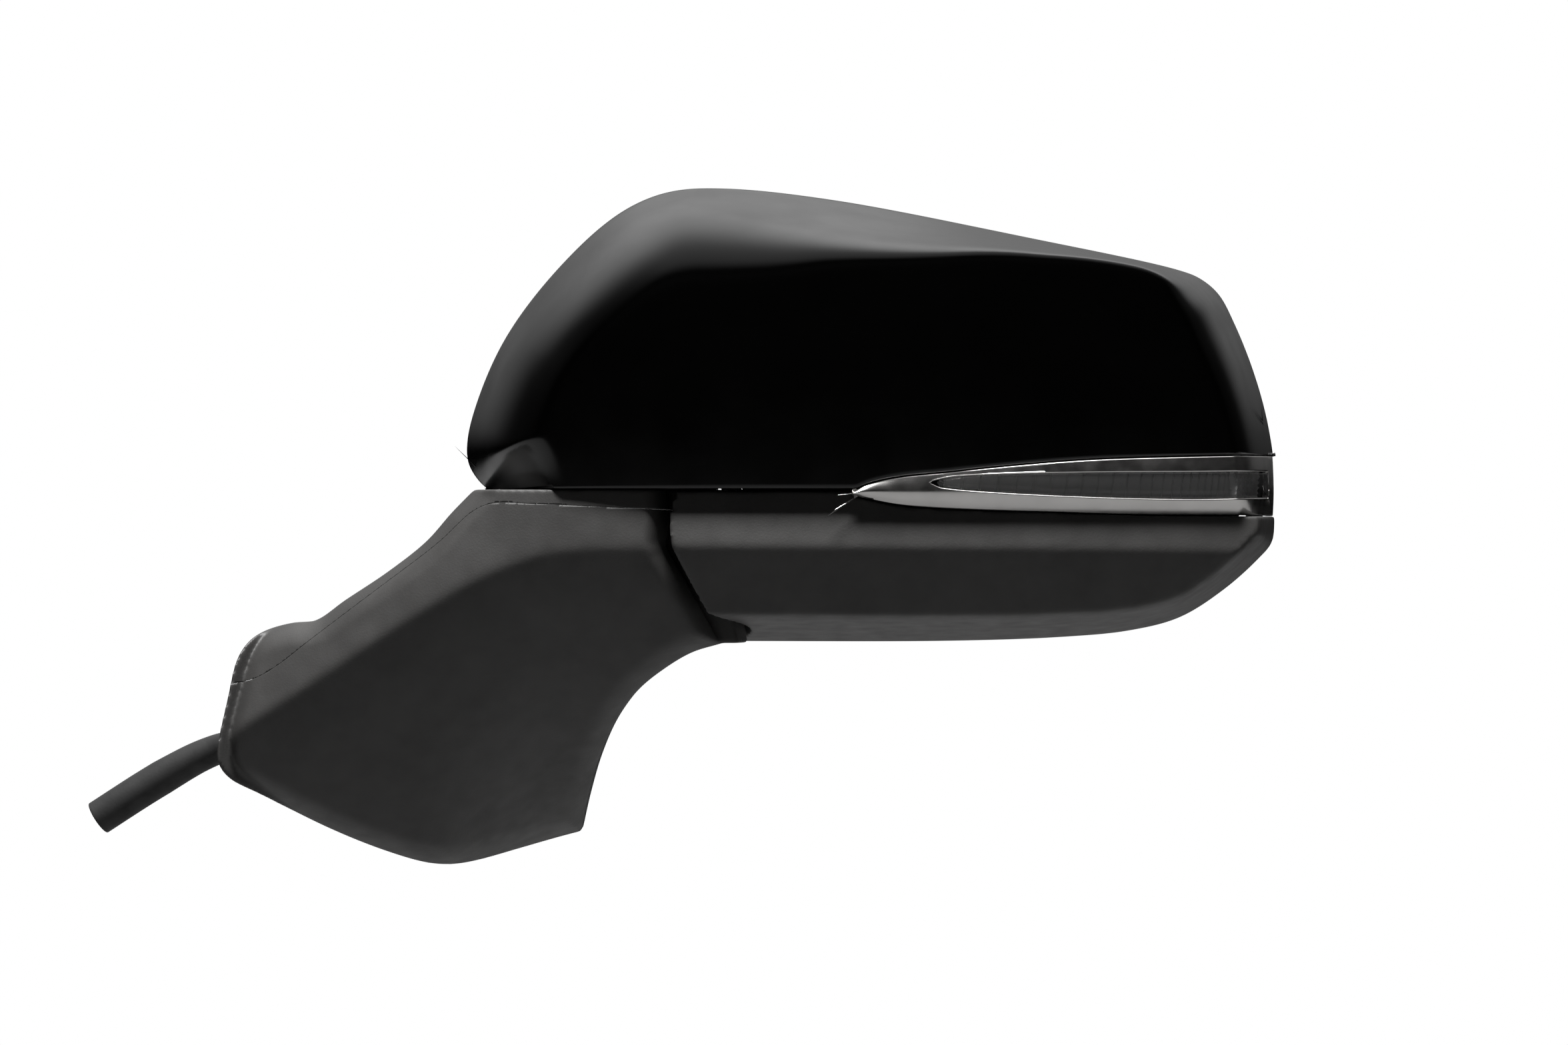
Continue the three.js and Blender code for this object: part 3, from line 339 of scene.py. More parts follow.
def lathe(name, profile, sides=96):
    """A solid turned round the fold axis from [radius, z] pairs that start and end on it."""
    inner = profile[1:-1]
    points = [[0, 0, profile[0][1]], [0, 0, profile[-1][1]]]
    for k in range(sides):
        angle = 2 * math.pi * k / sides
        points += [[radius * math.cos(angle), radius * math.sin(angle), z] for radius, z in inner]
    n = len(inner)
    faces = []
    for k in range(sides):
        a, b = 2 + k * n, 2 + ((k + 1) % sides) * n
        faces += [[0, b, a], [1, a + n - 1, b + n - 1]]
        faces += [[a + j, b + j, b + j + 1, a + j + 1] for j in range(n - 1)]
    return outward(new_object(name, points, faces))


def relief(name, outline, centre, front, back, front_rings, back_rings):
    """A closed solid over an outline, from front(x, z) back to back(x, z), in rings round a centre."""
    outline = np.asarray(outline, float)
    centre = np.asarray(centre, float)
    n = len(outline)
    layers = []
    faces = []
    start = 0
    starts = []
    for height, count in ((front, front_rings), (back, back_rings)):
        scales = 1 - (np.arange(count) / count) ** 1.8
        flat = (centre + (outline - centre) * scales[:, None, None]).reshape(-1, 2)
        flat = np.vstack([flat, centre])
        x, z = flat.T
        layers.append(np.stack([x, height(x, z) + 0 * x, z], axis=1))
        starts.append(start)
        for k in range(count - 1):
            for i in range(n):
                a, b = start + k * n + i, start + k * n + (i + 1) % n
                faces.append([a, b, b + n, a + n])
        last = start + (count - 1) * n
        faces += [[last + i, last + (i + 1) % n, start + count * n] for i in range(n)]
        start += count * n + 1
    front_faces = front_rings * n
    faces = faces[:front_faces] + [face[::-1] for face in faces[front_faces:]]
    for i in range(n):
        j = (i + 1) % n
        faces.append([starts[0] + j, starts[0] + i, starts[1] + i, starts[1] + j])
    return outward(new_object(name, np.vstack(layers), faces))


# ------------------------------------------------------------ materials
def noise(nodes, links, scale, detail=2, roughness=0.5):
    """A noise over the object's own coordinates. scale is in waves per metre."""
    place = nodes.new("ShaderNodeTexCoord")
    made = nodes.new("ShaderNodeTexNoise")
    made.inputs["Scale"].default_value = scale
    made.inputs["Detail"].default_value = detail
    made.inputs["Roughness"].default_value = roughness
    links.new(place.outputs["Object"], made.inputs["Vector"])
    return made.outputs["Fac"]


def material(name, dark, light, rough, mottle, bump=None, **sockets):
    """A procedural finish: a colour from dark to light and a roughness from rough[0] to rough[1] over a
    mottle of the given scale, a bump given as (scale, depth in m), and plain values for other sockets."""
    made = bpy.data.materials.new(name)
    made.use_nodes = True
    nodes, links = made.node_tree.nodes, made.node_tree.links
    shader = nodes["Principled BSDF"]
    for socket, value in sockets.items():
        shader.inputs[socket.replace("_", " ")].default_value = value
    cloud = noise(nodes, links, mottle, 4)
    colour = nodes.new("ShaderNodeValToRGB")
    colour.color_ramp.elements[0].position = 0.32
    colour.color_ramp.elements[1].position = 0.68
    colour.color_ramp.elements[0].color = (*dark, 1)
    colour.color_ramp.elements[1].color = (*light, 1)
    links.new(cloud, colour.inputs["Fac"])
    links.new(colour.outputs["Color"], shader.inputs["Base Color"])
    gloss = nodes.new("ShaderNodeMapRange")
    gloss.inputs["From Min"].default_value = 0.3
    gloss.inputs["From Max"].default_value = 0.7
    gloss.inputs["To Min"].default_value = rough[0]
    gloss.inputs["To Max"].default_value = rough[1]
    links.new(noise(nodes, links, mottle * 2.3, 3), gloss.inputs["Value"])
    links.new(gloss.outputs["Result"], shader.inputs["Roughness"])
    if bump:
        relief_node = nodes.new("ShaderNodeBump")
        relief_node.inputs["Strength"].default_value = 1
        relief_node.inputs["Distance"].default_value = bump[1]
        links.new(noise(nodes, links, bump[0], 3, 0.6), relief_node.inputs["Height"])
        links.new(relief_node.outputs["Normal"], shader.inputs["Normal"])
    return made


def grey(value, warm=1.0):
    """A grey, made warmer by a warm factor over 1."""
    return (value * warm, value, value / warm)


MATERIALS = {
    "gloss_black": material(
        "gloss_black", grey(0.002), grey(0.003), (0.2, 0.26), 24, (900, 0.0000015),
        Specular_IOR_Level=0.5,
    ),
    "grained_black": material(
        "grained_black", grey(0.027, 1.03), grey(0.035, 1.03), (0.5, 0.6), 60, (1500, 0.00005),
        Specular_IOR_Level=0.4,
    ),
    "inner_black": material(
        "inner_black", grey(0.015), grey(0.022), (0.45, 0.6), 40, (700, 0.00002)
    ),
    "satin_chrome": material(
        "satin_chrome", grey(0.56, 1.02), grey(0.62, 1.02), (0.2, 0.27), 90, (1400, 0.000002), Metallic=1.0
    ),
    "silvered": material(
        "silvered", (0.82, 0.85, 0.86), (0.86, 0.88, 0.89), (0.012, 0.03), 20, Metallic=1.0
    ),
    "steel": material(
        "steel", grey(0.42), grey(0.55), (0.28, 0.42), 120, (1200, 0.00001), Metallic=1.0
    ),
    "die_cast": material(
        "die_cast", grey(0.38), grey(0.5), (0.45, 0.62), 70, (900, 0.00006), Metallic=0.9
    ),
    "natural": material(
        "natural", (0.62, 0.6, 0.52), (0.72, 0.69, 0.6), (0.35, 0.5), 50, (800, 0.00001),
        Subsurface_Weight=0.1, Subsurface_Scale=0.004,
    ),
    "brass": material("brass", (0.62, 0.42, 0.14), (0.74, 0.53, 0.2), (0.25, 0.38), 140, Metallic=1.0),
    "rubber": material("rubber", grey(0.008), grey(0.014), (0.6, 0.78), 90, (1100, 0.00004)),
    "foam": material("foam", grey(0.012), grey(0.024), (0.85, 0.97), 400, (2600, 0.0002)),
    "board": material("board", (0.01, 0.12, 0.05), (0.02, 0.17, 0.07), (0.3, 0.45), 200),
    "heater_film": material("heater_film", (0.5, 0.22, 0.06), (0.62, 0.3, 0.09), (0.35, 0.5), 220),
    "plug_grey": material("plug_grey", grey(0.2), grey(0.25), (0.4, 0.5), 60, (900, 0.00002)),
    "smoked_clear": material(
        "smoked_clear", grey(0.05), grey(0.06), (0.03, 0.05), 30, Alpha=0.3, Coat_Weight=0.5,
    ),
    "ribbed_guide": material(
        "ribbed_guide", grey(0.55), grey(0.65), (0.2, 0.28), 60, (800, 0.00001),
    ),
    "paper": material("paper", grey(0.86), grey(0.88), (0.8, 0.9), 4),
}


def settle(piece, finish, body, *nodes, slot=None):
    """Gives a piece its material, and the body and CAD nodes that it stands for. slot is not used."""
    piece.data.materials.clear()
    piece.data.materials.append(MATERIALS[finish])
    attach(piece, body)
    if nodes:
        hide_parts(*nodes)
    return piece


# ------------------------------------------------------------ the camera
VIEW_CENTRE = [67.9, 0, -10.2]
VIEW_WIDTH = 490
CAMERA_FAR = 2500


def make_camera():
    lens = bpy.data.cameras.new("camera")
    lens.sensor_width = 36
    lens.lens = lens.sensor_width * CAMERA_FAR / VIEW_WIDTH
    camera = bpy.data.objects.new("camera", lens)
    middle_y = -25  # the depth at which the view is VIEW_WIDTH wide
    camera.location = row([VIEW_CENTRE[0], middle_y - CAMERA_FAR, VIEW_CENTRE[2]])
    camera.rotation_euler = (math.radians(90), 0, 0)
    bpy.context.scene.collection.objects.link(camera)
    bpy.context.scene.camera = camera


# ------------------------------------------------------------ the harness
GROMMET = (21, -77)
PLUG_END = 13  # how far from the coil's middle the wires enter the plug
COIL_CENTRE = np.array(door_point(80, -72, 30))
HARNESS_ROUTE = [
    door_point(*GROMMET, 9.4), [-107, 13.5, -80.6], [-112.5, 16.6, -82.4], [-119, 18.7, -85.2],
    [-127, 20.4, -89.6], [-136, 22, -95], [-144, 26, -99.6], [-148, 34, -102], [-144.5, 42, -100.5],
    [-136.5, 46.2, -95.6], [-127, 47, -90.2], [-118, 47.6, -86.2], [-109, 48.6, -85.6], [-100.6, 51.4, -89.5],
]
SLEEVE_ROUTE = [
    [-108, 14.2, -81], [-112.5, 16.6, -82.4], [-119, 18.7, -85.2], [-127, 20.4, -89.6], [-136, 22, -95],
    [-150.6, 24.4, -104.4],
]


def coil_point(angle, radius, level):
    """A point in the coil's plane, which lies along the door, and level mm off it."""
    along, up = radius * math.cos(angle), radius * math.sin(angle)
    return COIL_CENTRE + [(along - level) * HALF, (along + level) * HALF, up]


def coil_route():
    """One turn from the bottom left, then the end drawn in to the plug in the middle."""
    points = []
    turn = 24
    first, last = math.radians(245), math.radians(625)
    layer = CORD_D / 2 + 0.15
    for k in range(turn + 1):
        share = k / turn
        level = layer * (1 - 2 * np.clip((share - 0.35) / 0.4, 0, 1))
        points.append(coil_point(first + (last - first) * share, COIL_R, level))
    bend = COIL_R / 2
    for k in range(1, 9):
        angle = math.radians(-90 + 180 * k / 8)
        along, up = PLUG_END + 1 + bend * math.cos(angle) * 0.9, -bend + bend * math.sin(angle)
        level = -layer * (1 - k / 8)
        points.append(COIL_CENTRE + [(along - level) * HALF, (along + level) * HALF, up])
    return points


def tube(name, path, radius, sides):
    """A round mesh tube along a path, closed at its ends."""
    path = np.asarray(path, float)
    ahead = np.gradient(path, axis=0)
    ahead /= np.linalg.norm(ahead, axis=1)[:, None]
    side = np.cross(ahead[0], [0, 1, 0])
    points = []
    for here, along in zip(path, ahead):
        side = side - along * np.dot(side, along)
        side /= np.linalg.norm(side)
        other = np.cross(along, side)
        for k in range(sides):
            angle = 2 * math.pi * k / sides
            points.append(here + radius * (side * math.cos(angle) + other * math.sin(angle)))
    faces = []
    for i in range(len(path) - 1):
        for k in range(sides):
            a, b = i * sides + k, i * sides + (k + 1) % sides
            faces.append([a, b, b + sides, a + sides])
    faces += [list(range(sides))[::-1], [len(points) - sides + k for k in range(sides)]]
    made = outward(new_object(name, points, faces))
    made.data.shade_smooth()
    return made


def make_harness():
    sleeve = make_sleeve()
    lead = smooth(HARNESS_ROUTE, 28)
    turns = coil_route()
    path = np.vstack([lead, turns])
    fine = smooth(path, 420)
    cord = tube("harness_wires", fine, CORD_D / 2, 20)
    settle(cord, "rubber", "foot", "harness_cord", "harness_coil")
    [tuple(p) for p in row(smooth(path, 90))]


def make_sleeve():
    """The slit sleeve: a C-shaped section with rounded lips, open on the side away from the front."""
    path = smooth(SLEEVE_ROUTE, 60)
    ahead = np.gradient(path, axis=0)
    ahead /= np.linalg.norm(ahead, axis=1)[:, None]
    opening = 0.95  # half the slit, in radians
    around = 40
    points = []
    for i, (here, along) in enumerate(zip(path, ahead)):
        side = np.cross([0, 1, 0], along)
        side /= np.linalg.norm(side)
        behind = np.cross(along, side)
        grow = min(1, i / 30)
        radius = 3.85 + 0.9 * grow
        for k in range(around):
            angle = opening + (2 * math.pi - 2 * opening) * k / (around - 1)
            points.append(here + radius * (behind * math.cos(angle) + side * math.sin(angle)))
    made = new_object("harness_slit_sleeve", points, grid_faces(len(path), around))
    middle = len(points) // 2
    out = np.array(points[middle]) - path[len(path) // 2]
    centre_face = made.data.polygons[len(made.data.polygons) // 2]
    if np.dot(np.array(centre_face.normal), out) < 0:
        made.data.flip_normals()
    walled(made, 0.8, 0.25)
    return settle(made, "rubber", "foot", "harness_sleeve")


# ------------------------------------------------------------ the head
def profile_lines(starts, ends, height, count):
    """Lines over a surface y = height(x, z) from the rim at each start to each end, with even steps."""
    share = np.linspace(0, 1, 240) ** 2
    flat = starts[:, None, :] + (ends - starts)[:, None, :] * share[None, :, None]
    x, z = flat[..., 0], flat[..., 1]
    lines = np.stack([x, height(x, z), z], axis=2)
    rim = np.stack([starts[:, 0], np.full(len(starts), float(RIM_Y)), starts[:, 1]], axis=1)
    lines = np.concatenate([rim[:, None, :], lines], axis=1)
    return np.vstack([spaced(line, count) for line in lines])


def cap_low(x):
    """The cap's lower edge: the seam, then just over the lamp's trim."""
    return np.where(x > 86, np.maximum(CAP_LOW_Z, trim_top(x) + GAP), CAP_LOW_Z)


def make_cap():
    count = 90
    edge = smooth(CAP_EDGE, 900)
    edge = edge[edge[:, 1] > cap_low(edge[:, 0]) + 0.02]
    starts = spaced(edge, 300)
    across = np.linspace(0, 1, len(starts))
    seam_x = starts[0, 0] + (starts[-1, 0] - starts[0, 0]) * across
    ends = np.stack([seam_x, cap_low(seam_x)], axis=1)
    points = profile_lines(starts, ends, lambda x, z: RIM_Y - cap_depth(x, z), count)
    cap = facing(new_object("cap_shell", points, grid_faces(len(starts), count)), (0, -1, 0))
    weld(cap)
    relax(cap, 4)
    walled(cap, WALL, 0.7)
    return settle(cap, "gloss_black", "head", "cap_cover")


def weld(piece, reach=0.02):
    """Joins points of a piece that are within reach of each other, in mm."""
    join = piece.modifiers.new("weld", "WELD")
    join.merge_threshold = reach * MM
    return bake(piece)


def relax(piece, rounds):
    """Evens out small kinks inside a surface, leaving its rims where they are."""
    group = piece.vertex_groups.new(name="inside")
    uses = {}
    for face in piece.data.polygons:
        for key in face.edge_keys:
            uses[key] = uses.get(key, 0) + 1
    rim = {v for key, count in uses.items() if count == 1 for v in key}
    group.add([v.index for v in piece.data.vertices if v.index not in rim], 1, "REPLACE")
    soften = piece.modifiers.new("soften", "SMOOTH")
    soften.factor = 0.5
    soften.iterations = rounds
    soften.vertex_group = "inside"
    return bake(piece)


def turret(name, gap):
    """The foot's round top, grown by a gap."""
    return lathe(name, [
        [0, SKIRT_Z - 12], [TURRET_SKIRT_R + gap + 2, SKIRT_Z - 12], [TURRET_SKIRT_R + gap, SKIRT_Z],
        [TURRET_R + gap, WAIST_Z], [TURRET_R + gap, FOOT_TOP_Z + gap], [0, FOOT_TOP_Z + gap],
    ])


def lamp_space(y_range):
    """The room in the head's shells that the lamp takes."""
    xs = np.linspace(88.05, 232, 60)
    under = np.stack([xs, trim_low(xs) - GAP], axis=1)
    over = np.stack([xs, trim_top(xs) + GAP], axis=1)[::-1]
    return prism("lamp_space", np.vstack([under, over]), y_range)


def lower_region(seam):
    xs = np.linspace(31.5, 224, 90)
    return np.vstack([
        spaced([[31, seam], [33, WAIST_Z], lower_outline[0]], 40)[:-1], lower_outline,
        [[224.8, seam]], np.stack([xs, np.full(len(xs), seam)], axis=1)[::-1],
    ])


def make_lower_housing():
    middle = [125, -24]
    rings = 44
    past = RIM_Y + 6
    outer = relief(
        "lower_shell", lower_region(LOWER_TOP_Z), middle, lambda x, z: RIM_Y - lower_depth(x, z),
        lambda x, z: RIM_Y, rings, 1,
    )
    inner = relief(
        "lower_hollow", inset(lower_region(LOWER_TOP_Z + 6), WALL), middle,
        lambda x, z: RIM_Y - lower_depth(x, z, WALL), lambda x, z: past, rings // 2, 1,
    )
    combine(inner, turret("notch_wall", FOLD_GAP + WALL), "DIFFERENCE")
    combine(outer, inner, "DIFFERENCE")
    combine(outer, lamp_space([-60, past]), "DIFFERENCE")
    combine(outer, turret("notch", FOLD_GAP), "DIFFERENCE")
    moulded(outer, 0.7, 3)
    settle(outer, "grained_black", "head", "lower_housing")


# ------------------------------------------------------------ the lamp
LAMP_END = 223.4
TRIM_START = 89.2
LENS_TO = 221


def lamp_stations(first, last, count):
    """Places in x along the lamp, evenly spaced over its front and round its outboard end."""
    xs = np.linspace(first, last, 1600)
    line = np.stack([xs, lamp_face(xs, np.full(len(xs), 1.5))], axis=1)
    return spaced(line, count)[:, 0]


def lamp_strip(name, xs, low, high, rows, bulge, to_rim=False):
    """A strip over the lamp's front between two heights at each station, or on to the head's rim.

    bulge(x, z) raises it.
    """
    share = np.linspace(0, 1, rows)
    z = low[:, None] + (high - low)[:, None] * share
    x = np.repeat(xs[:, None], rows, axis=1)
    y = lamp_face(x, z) - bulge(x, z)
    if to_rim:
        x, z = np.vstack([x, x[-1:]]), np.vstack([z, z[-1:]])
        y = np.vstack([y, np.full((1, rows), RIM_Y - GAP)])
    points = np.stack([x, y, z], axis=2).reshape(-1, 3)
    return facing(new_object(name, points, grid_faces(len(x), rows)), (0, -1, 0))


def trim_bulge(x, z):
    share = np.clip((z - trim_low(x)) / np.maximum(trim_top(x) - trim_low(x), 0.1), 0, 1)
    return np.sin(math.pi * share)


def make_trim():
    """The bright trim: a band over the lens and one under it, joined at both ends of the lens."""
    xs = lamp_stations(TRIM_START, LAMP_END, 260)
    lip = 0.2
    crest = 0.743  # how far up the bands meet, inboard of the lens
    low, high = trim_low(xs) - lip, trim_top(xs)
    middle = np.where(xs < LENS_FROM, low + (high - low) * crest, (low + high) / 2)
    closed = (xs < LENS_FROM) | (xs > LENS_TO + lip)
    open_low = np.where(closed, middle, lens_low(xs) - lip)
    open_high = np.where(closed, middle, lens_top(xs) + lip)
    trim = lamp_strip("lamp_bright_trim", xs, low, open_low, 14, trim_bulge, to_rim=True)
    over = lamp_strip("over", xs, open_high, high, 10, trim_bulge, to_rim=True)
    join_into(trim, over)
    weld(trim)
    walled(trim, 2, 0.35)
    return settle(trim, "satin_chrome", "head", "lamp_trim")


def join_into(piece, other):
    """Adds another object's mesh to a piece's."""
    first, second = piece.data, other.data
    points = [v.co[:] for v in first.vertices] + [v.co[:] for v in second.vertices]
    offset = len(first.vertices)
    faces = [list(f.vertices) for f in first.polygons]
    faces += [[v + offset for v in f.vertices] for f in second.polygons]
    mesh = bpy.data.meshes.new(piece.name)
    mesh.from_pydata(points, [], faces)
    mesh.update()
    piece.data = mesh
    bpy.data.meshes.remove(first)
    bpy.data.objects.remove(other)


def make_lens():
    xs = lamp_stations(LENS_FROM + 2, LENS_TO, 220)
    low, high = lens_low(xs) + GAP, lens_top(xs) - GAP

    def crown(x, z):
        middle = (lens_low(x) + lens_top(x)) / 2
        half = (lens_top(x) - lens_low(x)) / 2
        return 0.4 * (1 - ((z - middle) / half) ** 2)

    lens = lamp_strip("lamp_smoked_lens", xs, low, high, 12, crown)
    walled(lens, 1.6, 0.25)
    settle(lens, "smoked_clear", "head", "lamp_lens")


def sink(piece, depths):
    """Moves each point of a smooth surface inwards along its normal, in mm."""
    normals = [v.normal.copy() for v in piece.data.vertices]
    for vertex, normal, depth in zip(piece.data.vertices, normals, depths):
        vertex.co -= normal * float(depth) * MM
    piece.data.update()


def make_light_guide():
    """The ribbed guide behind the lens, whose ribs lie closer together towards its outboard end."""
    first, last = LENS_FROM + 4, LENS_TO
    xs = lamp_stations(first, last, 1500)
    pitch = graph([first, 6], [170, 4.6], [200, 2.2], [last, 1.2])
    phase = np.cumsum(np.gradient(xs) / pitch(xs))
    rows = 6
    share = np.linspace(0, 1, rows)
    low, high = lens_low(xs) - 0.5, lens_top(xs) + 0.5
    z = low[:, None] + (high - low)[:, None] * share
    lean = 0.12
    x = np.repeat(xs[:, None], rows, axis=1)
    turned = np.interp(x - lean * z, xs, phase)
    ridge = np.maximum(1 - 5 * np.abs(np.sin(math.pi * turned)), 0)
    points = np.stack([x, lamp_face(x, z), z], axis=2).reshape(-1, 3)
    guide = facing(new_object("lamp_ribbed_guide", points, grid_faces(len(xs), rows)), (0, -1, 0))
    sink(guide, 3.5 - 1.4 * ridge.reshape(-1))
    walled(guide, 1.6, 0.05)
    return settle(guide, "ribbed_guide", "head", "lamp_light_guide", slot="smoked_clear")


# ------------------------------------------------------------ the glass and its bezel
GLASS_EDGE = [
    [12, 48], [12.6, 58], [18.6, 68], [31, 78], [48, 84], [64, 85], [84, 82.6], [146, 71], [187, 62],
    [200, 56.6], [207.5, 42], [212, 24], [214, 4], [213, -8], [206, -19], [194, -29], [176, -35],
    [150, -37.2], [118, -37.2], [102, -33.5],
]
GLASS_Y = (24.2, 26.4)
GLASS_GAP = 2.2
BEZEL_THICK = 3
glass_outline = smooth(GLASS_EDGE, 260, closed=True)[::-1]


def rim_outline():
    """The head's rear rim, with the notch that clears the foot's round top."""
    def clear(radius):
        return math.sqrt((radius + FOLD_GAP) ** 2 - (RIM_Y - BEZEL_THICK) ** 2)

    notch = spaced([
        [5, CAP_LOW_Z], [clear(TURRET_R), CAP_LOW_Z], [clear(TURRET_R), WAIST_Z],
        [clear(TURRET_SKIRT_R), SKIRT_Z + 1],
    ], 60)
    return np.vstack([notch, lower_outline[2:], cap_outline])


def make_bezel():
    flange = 18
    opening = inset(glass_outline, -GLASS_GAP)
    panel = prism("glass_surround", inset(rim_outline(), WALL + 3 * GAP), [RIM_Y - BEZEL_THICK, RIM_Y])
    combine(panel, prism("wall", inset(opening, -1.6), [flange, RIM_Y]), "UNION")
    combine(panel, prism("opening", opening, [0, RIM_Y + 5]), "DIFFERENCE")
    combine(panel, turret("clear", FOLD_GAP + WALL + GAP), "DIFFERENCE")
    moulded(panel, 0.7, 5)
    settle(panel, "grained_black", "head", "glass_bezel")


def make_glass():
    """The silvered glass: slightly convex, with a ground edge."""
    n = len(glass_outline)
    centre = np.array([110, 22])
    rings = 12
    crown = 1.0
    points = []
    for k in range(rings):
        scale = 1 - k / rings
        for x, z in centre + (glass_outline - centre) * scale:
            points.append([x, GLASS_Y[1] + crown * (1 - scale * scale), z])
    points.append([centre[0], GLASS_Y[1] + crown, centre[1]])
    faces = []
    for k in range(rings - 1):
        for i in range(n):
            a, b = k * n + i, k * n + (i + 1) % n
            faces.append([a, b, b + n, a + n])
    last = (rings - 1) * n
    faces += [[last + i, last + (i + 1) % n, rings * n] for i in range(n)]
    glass = facing(new_object("convex_glass", points, faces), (0, 1, 0))
    walled(glass, 2.0, 0.4)
    settle(glass, "silvered", "glass", "mirror_glass")


# ------------------------------------------------------------ the foot
FOOT_EDGE = [
    [31, FOOT_TOP_Z], [32, -10], [31, WAIST_Z], [48, -48.2], [39, -51], [30, -56.4], [22, -63],
    [14.5, -73], [9, -85], [5, -98], [2, -110.4], [-18, -115.8], [-31, -119], [-38, -119.9],
    [-46, -119.2], [-60, -114.6], [-77, -107], [-96, -96.6], [-107, -90], [-110, -84.5],
    [-109.6, -79], [-107, -66], [-104, -53], [-100.5, -47.5], [-96, -44.4], [-88, -42],
    [-79.5, -41], [-70, -34.6], [-56, -25.4], [-44, -16], [-36, -7], [-28.5, 0.6],
]


def foot_outline():
    """Seen from the front, anticlockwise, with even steps between its corners."""
    round_part = smooth(FOOT_EDGE[10:], 170)
    round_part[:, 1] = np.minimum(round_part[:, 1], FOOT_TOP_Z)
    corners = [
        spaced(FOOT_EDGE[:4], 40)[:-1], smooth(FOOT_EDGE[3:11], 60)[:-1], round_part,
        spaced([[-28, FOOT_TOP_Z], [30.5, FOOT_TOP_Z]], 40)[1:],
    ]
    return np.vstack(corners)[::-1]


foot_shape = foot_outline()
foot_edge = np.vstack([
    spaced(FOOT_EDGE[:4], 20)[:-1], smooth(FOOT_EDGE[3:11], 40)[:-1], smooth(FOOT_EDGE[10:], 90),
])
foot_crease = graph(
    [-112, -81], [-100, -73.3], [-77, -58.6], [-60, -47.2], [-38, -33.4], [-22, -25], [-6, -19.4],
    [12, -17.8], [34, -17.7],
)
crease_depth = graph([-112, 12], [-100, 18], [-60, 31], [-38, 36.5], [0, 41], [30, 42])
foot_bend = graph([-90, 0.0062], [-44, 0.005], [0, 0.0082], [48, 0.004])


def foot_front(x, z):
    over = z - foot_crease(x)
    soft = np.sqrt(over * over + 5) - math.sqrt(5)
    upper = crease_depth(x) - (0.12 + 0.004 * np.maximum(-x, 0)) * soft
    lower = crease_depth(x) - 0.38 * soft - foot_bend(x) * over * over
    facet = np.where(over > 0, upper, lower)
    front = -soft_min(facet, facet - 9 + 2.4 * nearest(foot_edge, x, z), 9)
    return np.minimum(front, door_y(x) - 4)


def foot_rear(x, z):
    """The back of the arm, which widens towards the bottom until the door plane ends it."""
    drop = np.maximum(-z, 0)
    return np.minimum(30 + 0.22 * drop + 0.75 * np.maximum(drop - 48, 0), door_y(x))


FOOT_SEAM = [
    [-116, -61.5], [-105.8, -61], [-98, -59], [-91, -55], [-80, -46.5], [-60, -31.5], [-40, -16.5],
    [-29, -6.6], [-23, -4.2], [-10, -4.4], [32, -6.2], [70, -7],
]
SEAM_HALF = 0.04  # half the gap between the two covers
SEAM_SHUT_Y = -6  # behind this they all but meet


def slab(name, x_range, y_range, z_range):
    (x0, x1), (z0, z1) = x_range, z_range
    return prism(name, [[x0, z0], [x1, z0], [x1, z1], [x0, z1]], y_range)


def slab_up(name, outline, z_range):
    """An outline in x and y, made solid from one height to another."""
    n = len(outline)
    points = [[x, y, z] for z in z_range for x, y in outline]
    faces = [list(range(n)), list(range(n, 2 * n))[::-1]]
    faces += [[i, i + n, (i + 1) % n + n, (i + 1) % n] for i in range(n)]
    return outward(new_object(name, points, faces))


def turret_side(name, gap, top):
    """The outboard side of the foot's round top, which the head hides, or its hollow."""
    inboard, front = TURRET_SIDE
    side = slab("side_room", (inboard + gap, 60), (front - gap, RIM_Y + gap), (SKIRT_Z - gap, top))
    return combine(turret(name, gap), side, "INTERSECT")


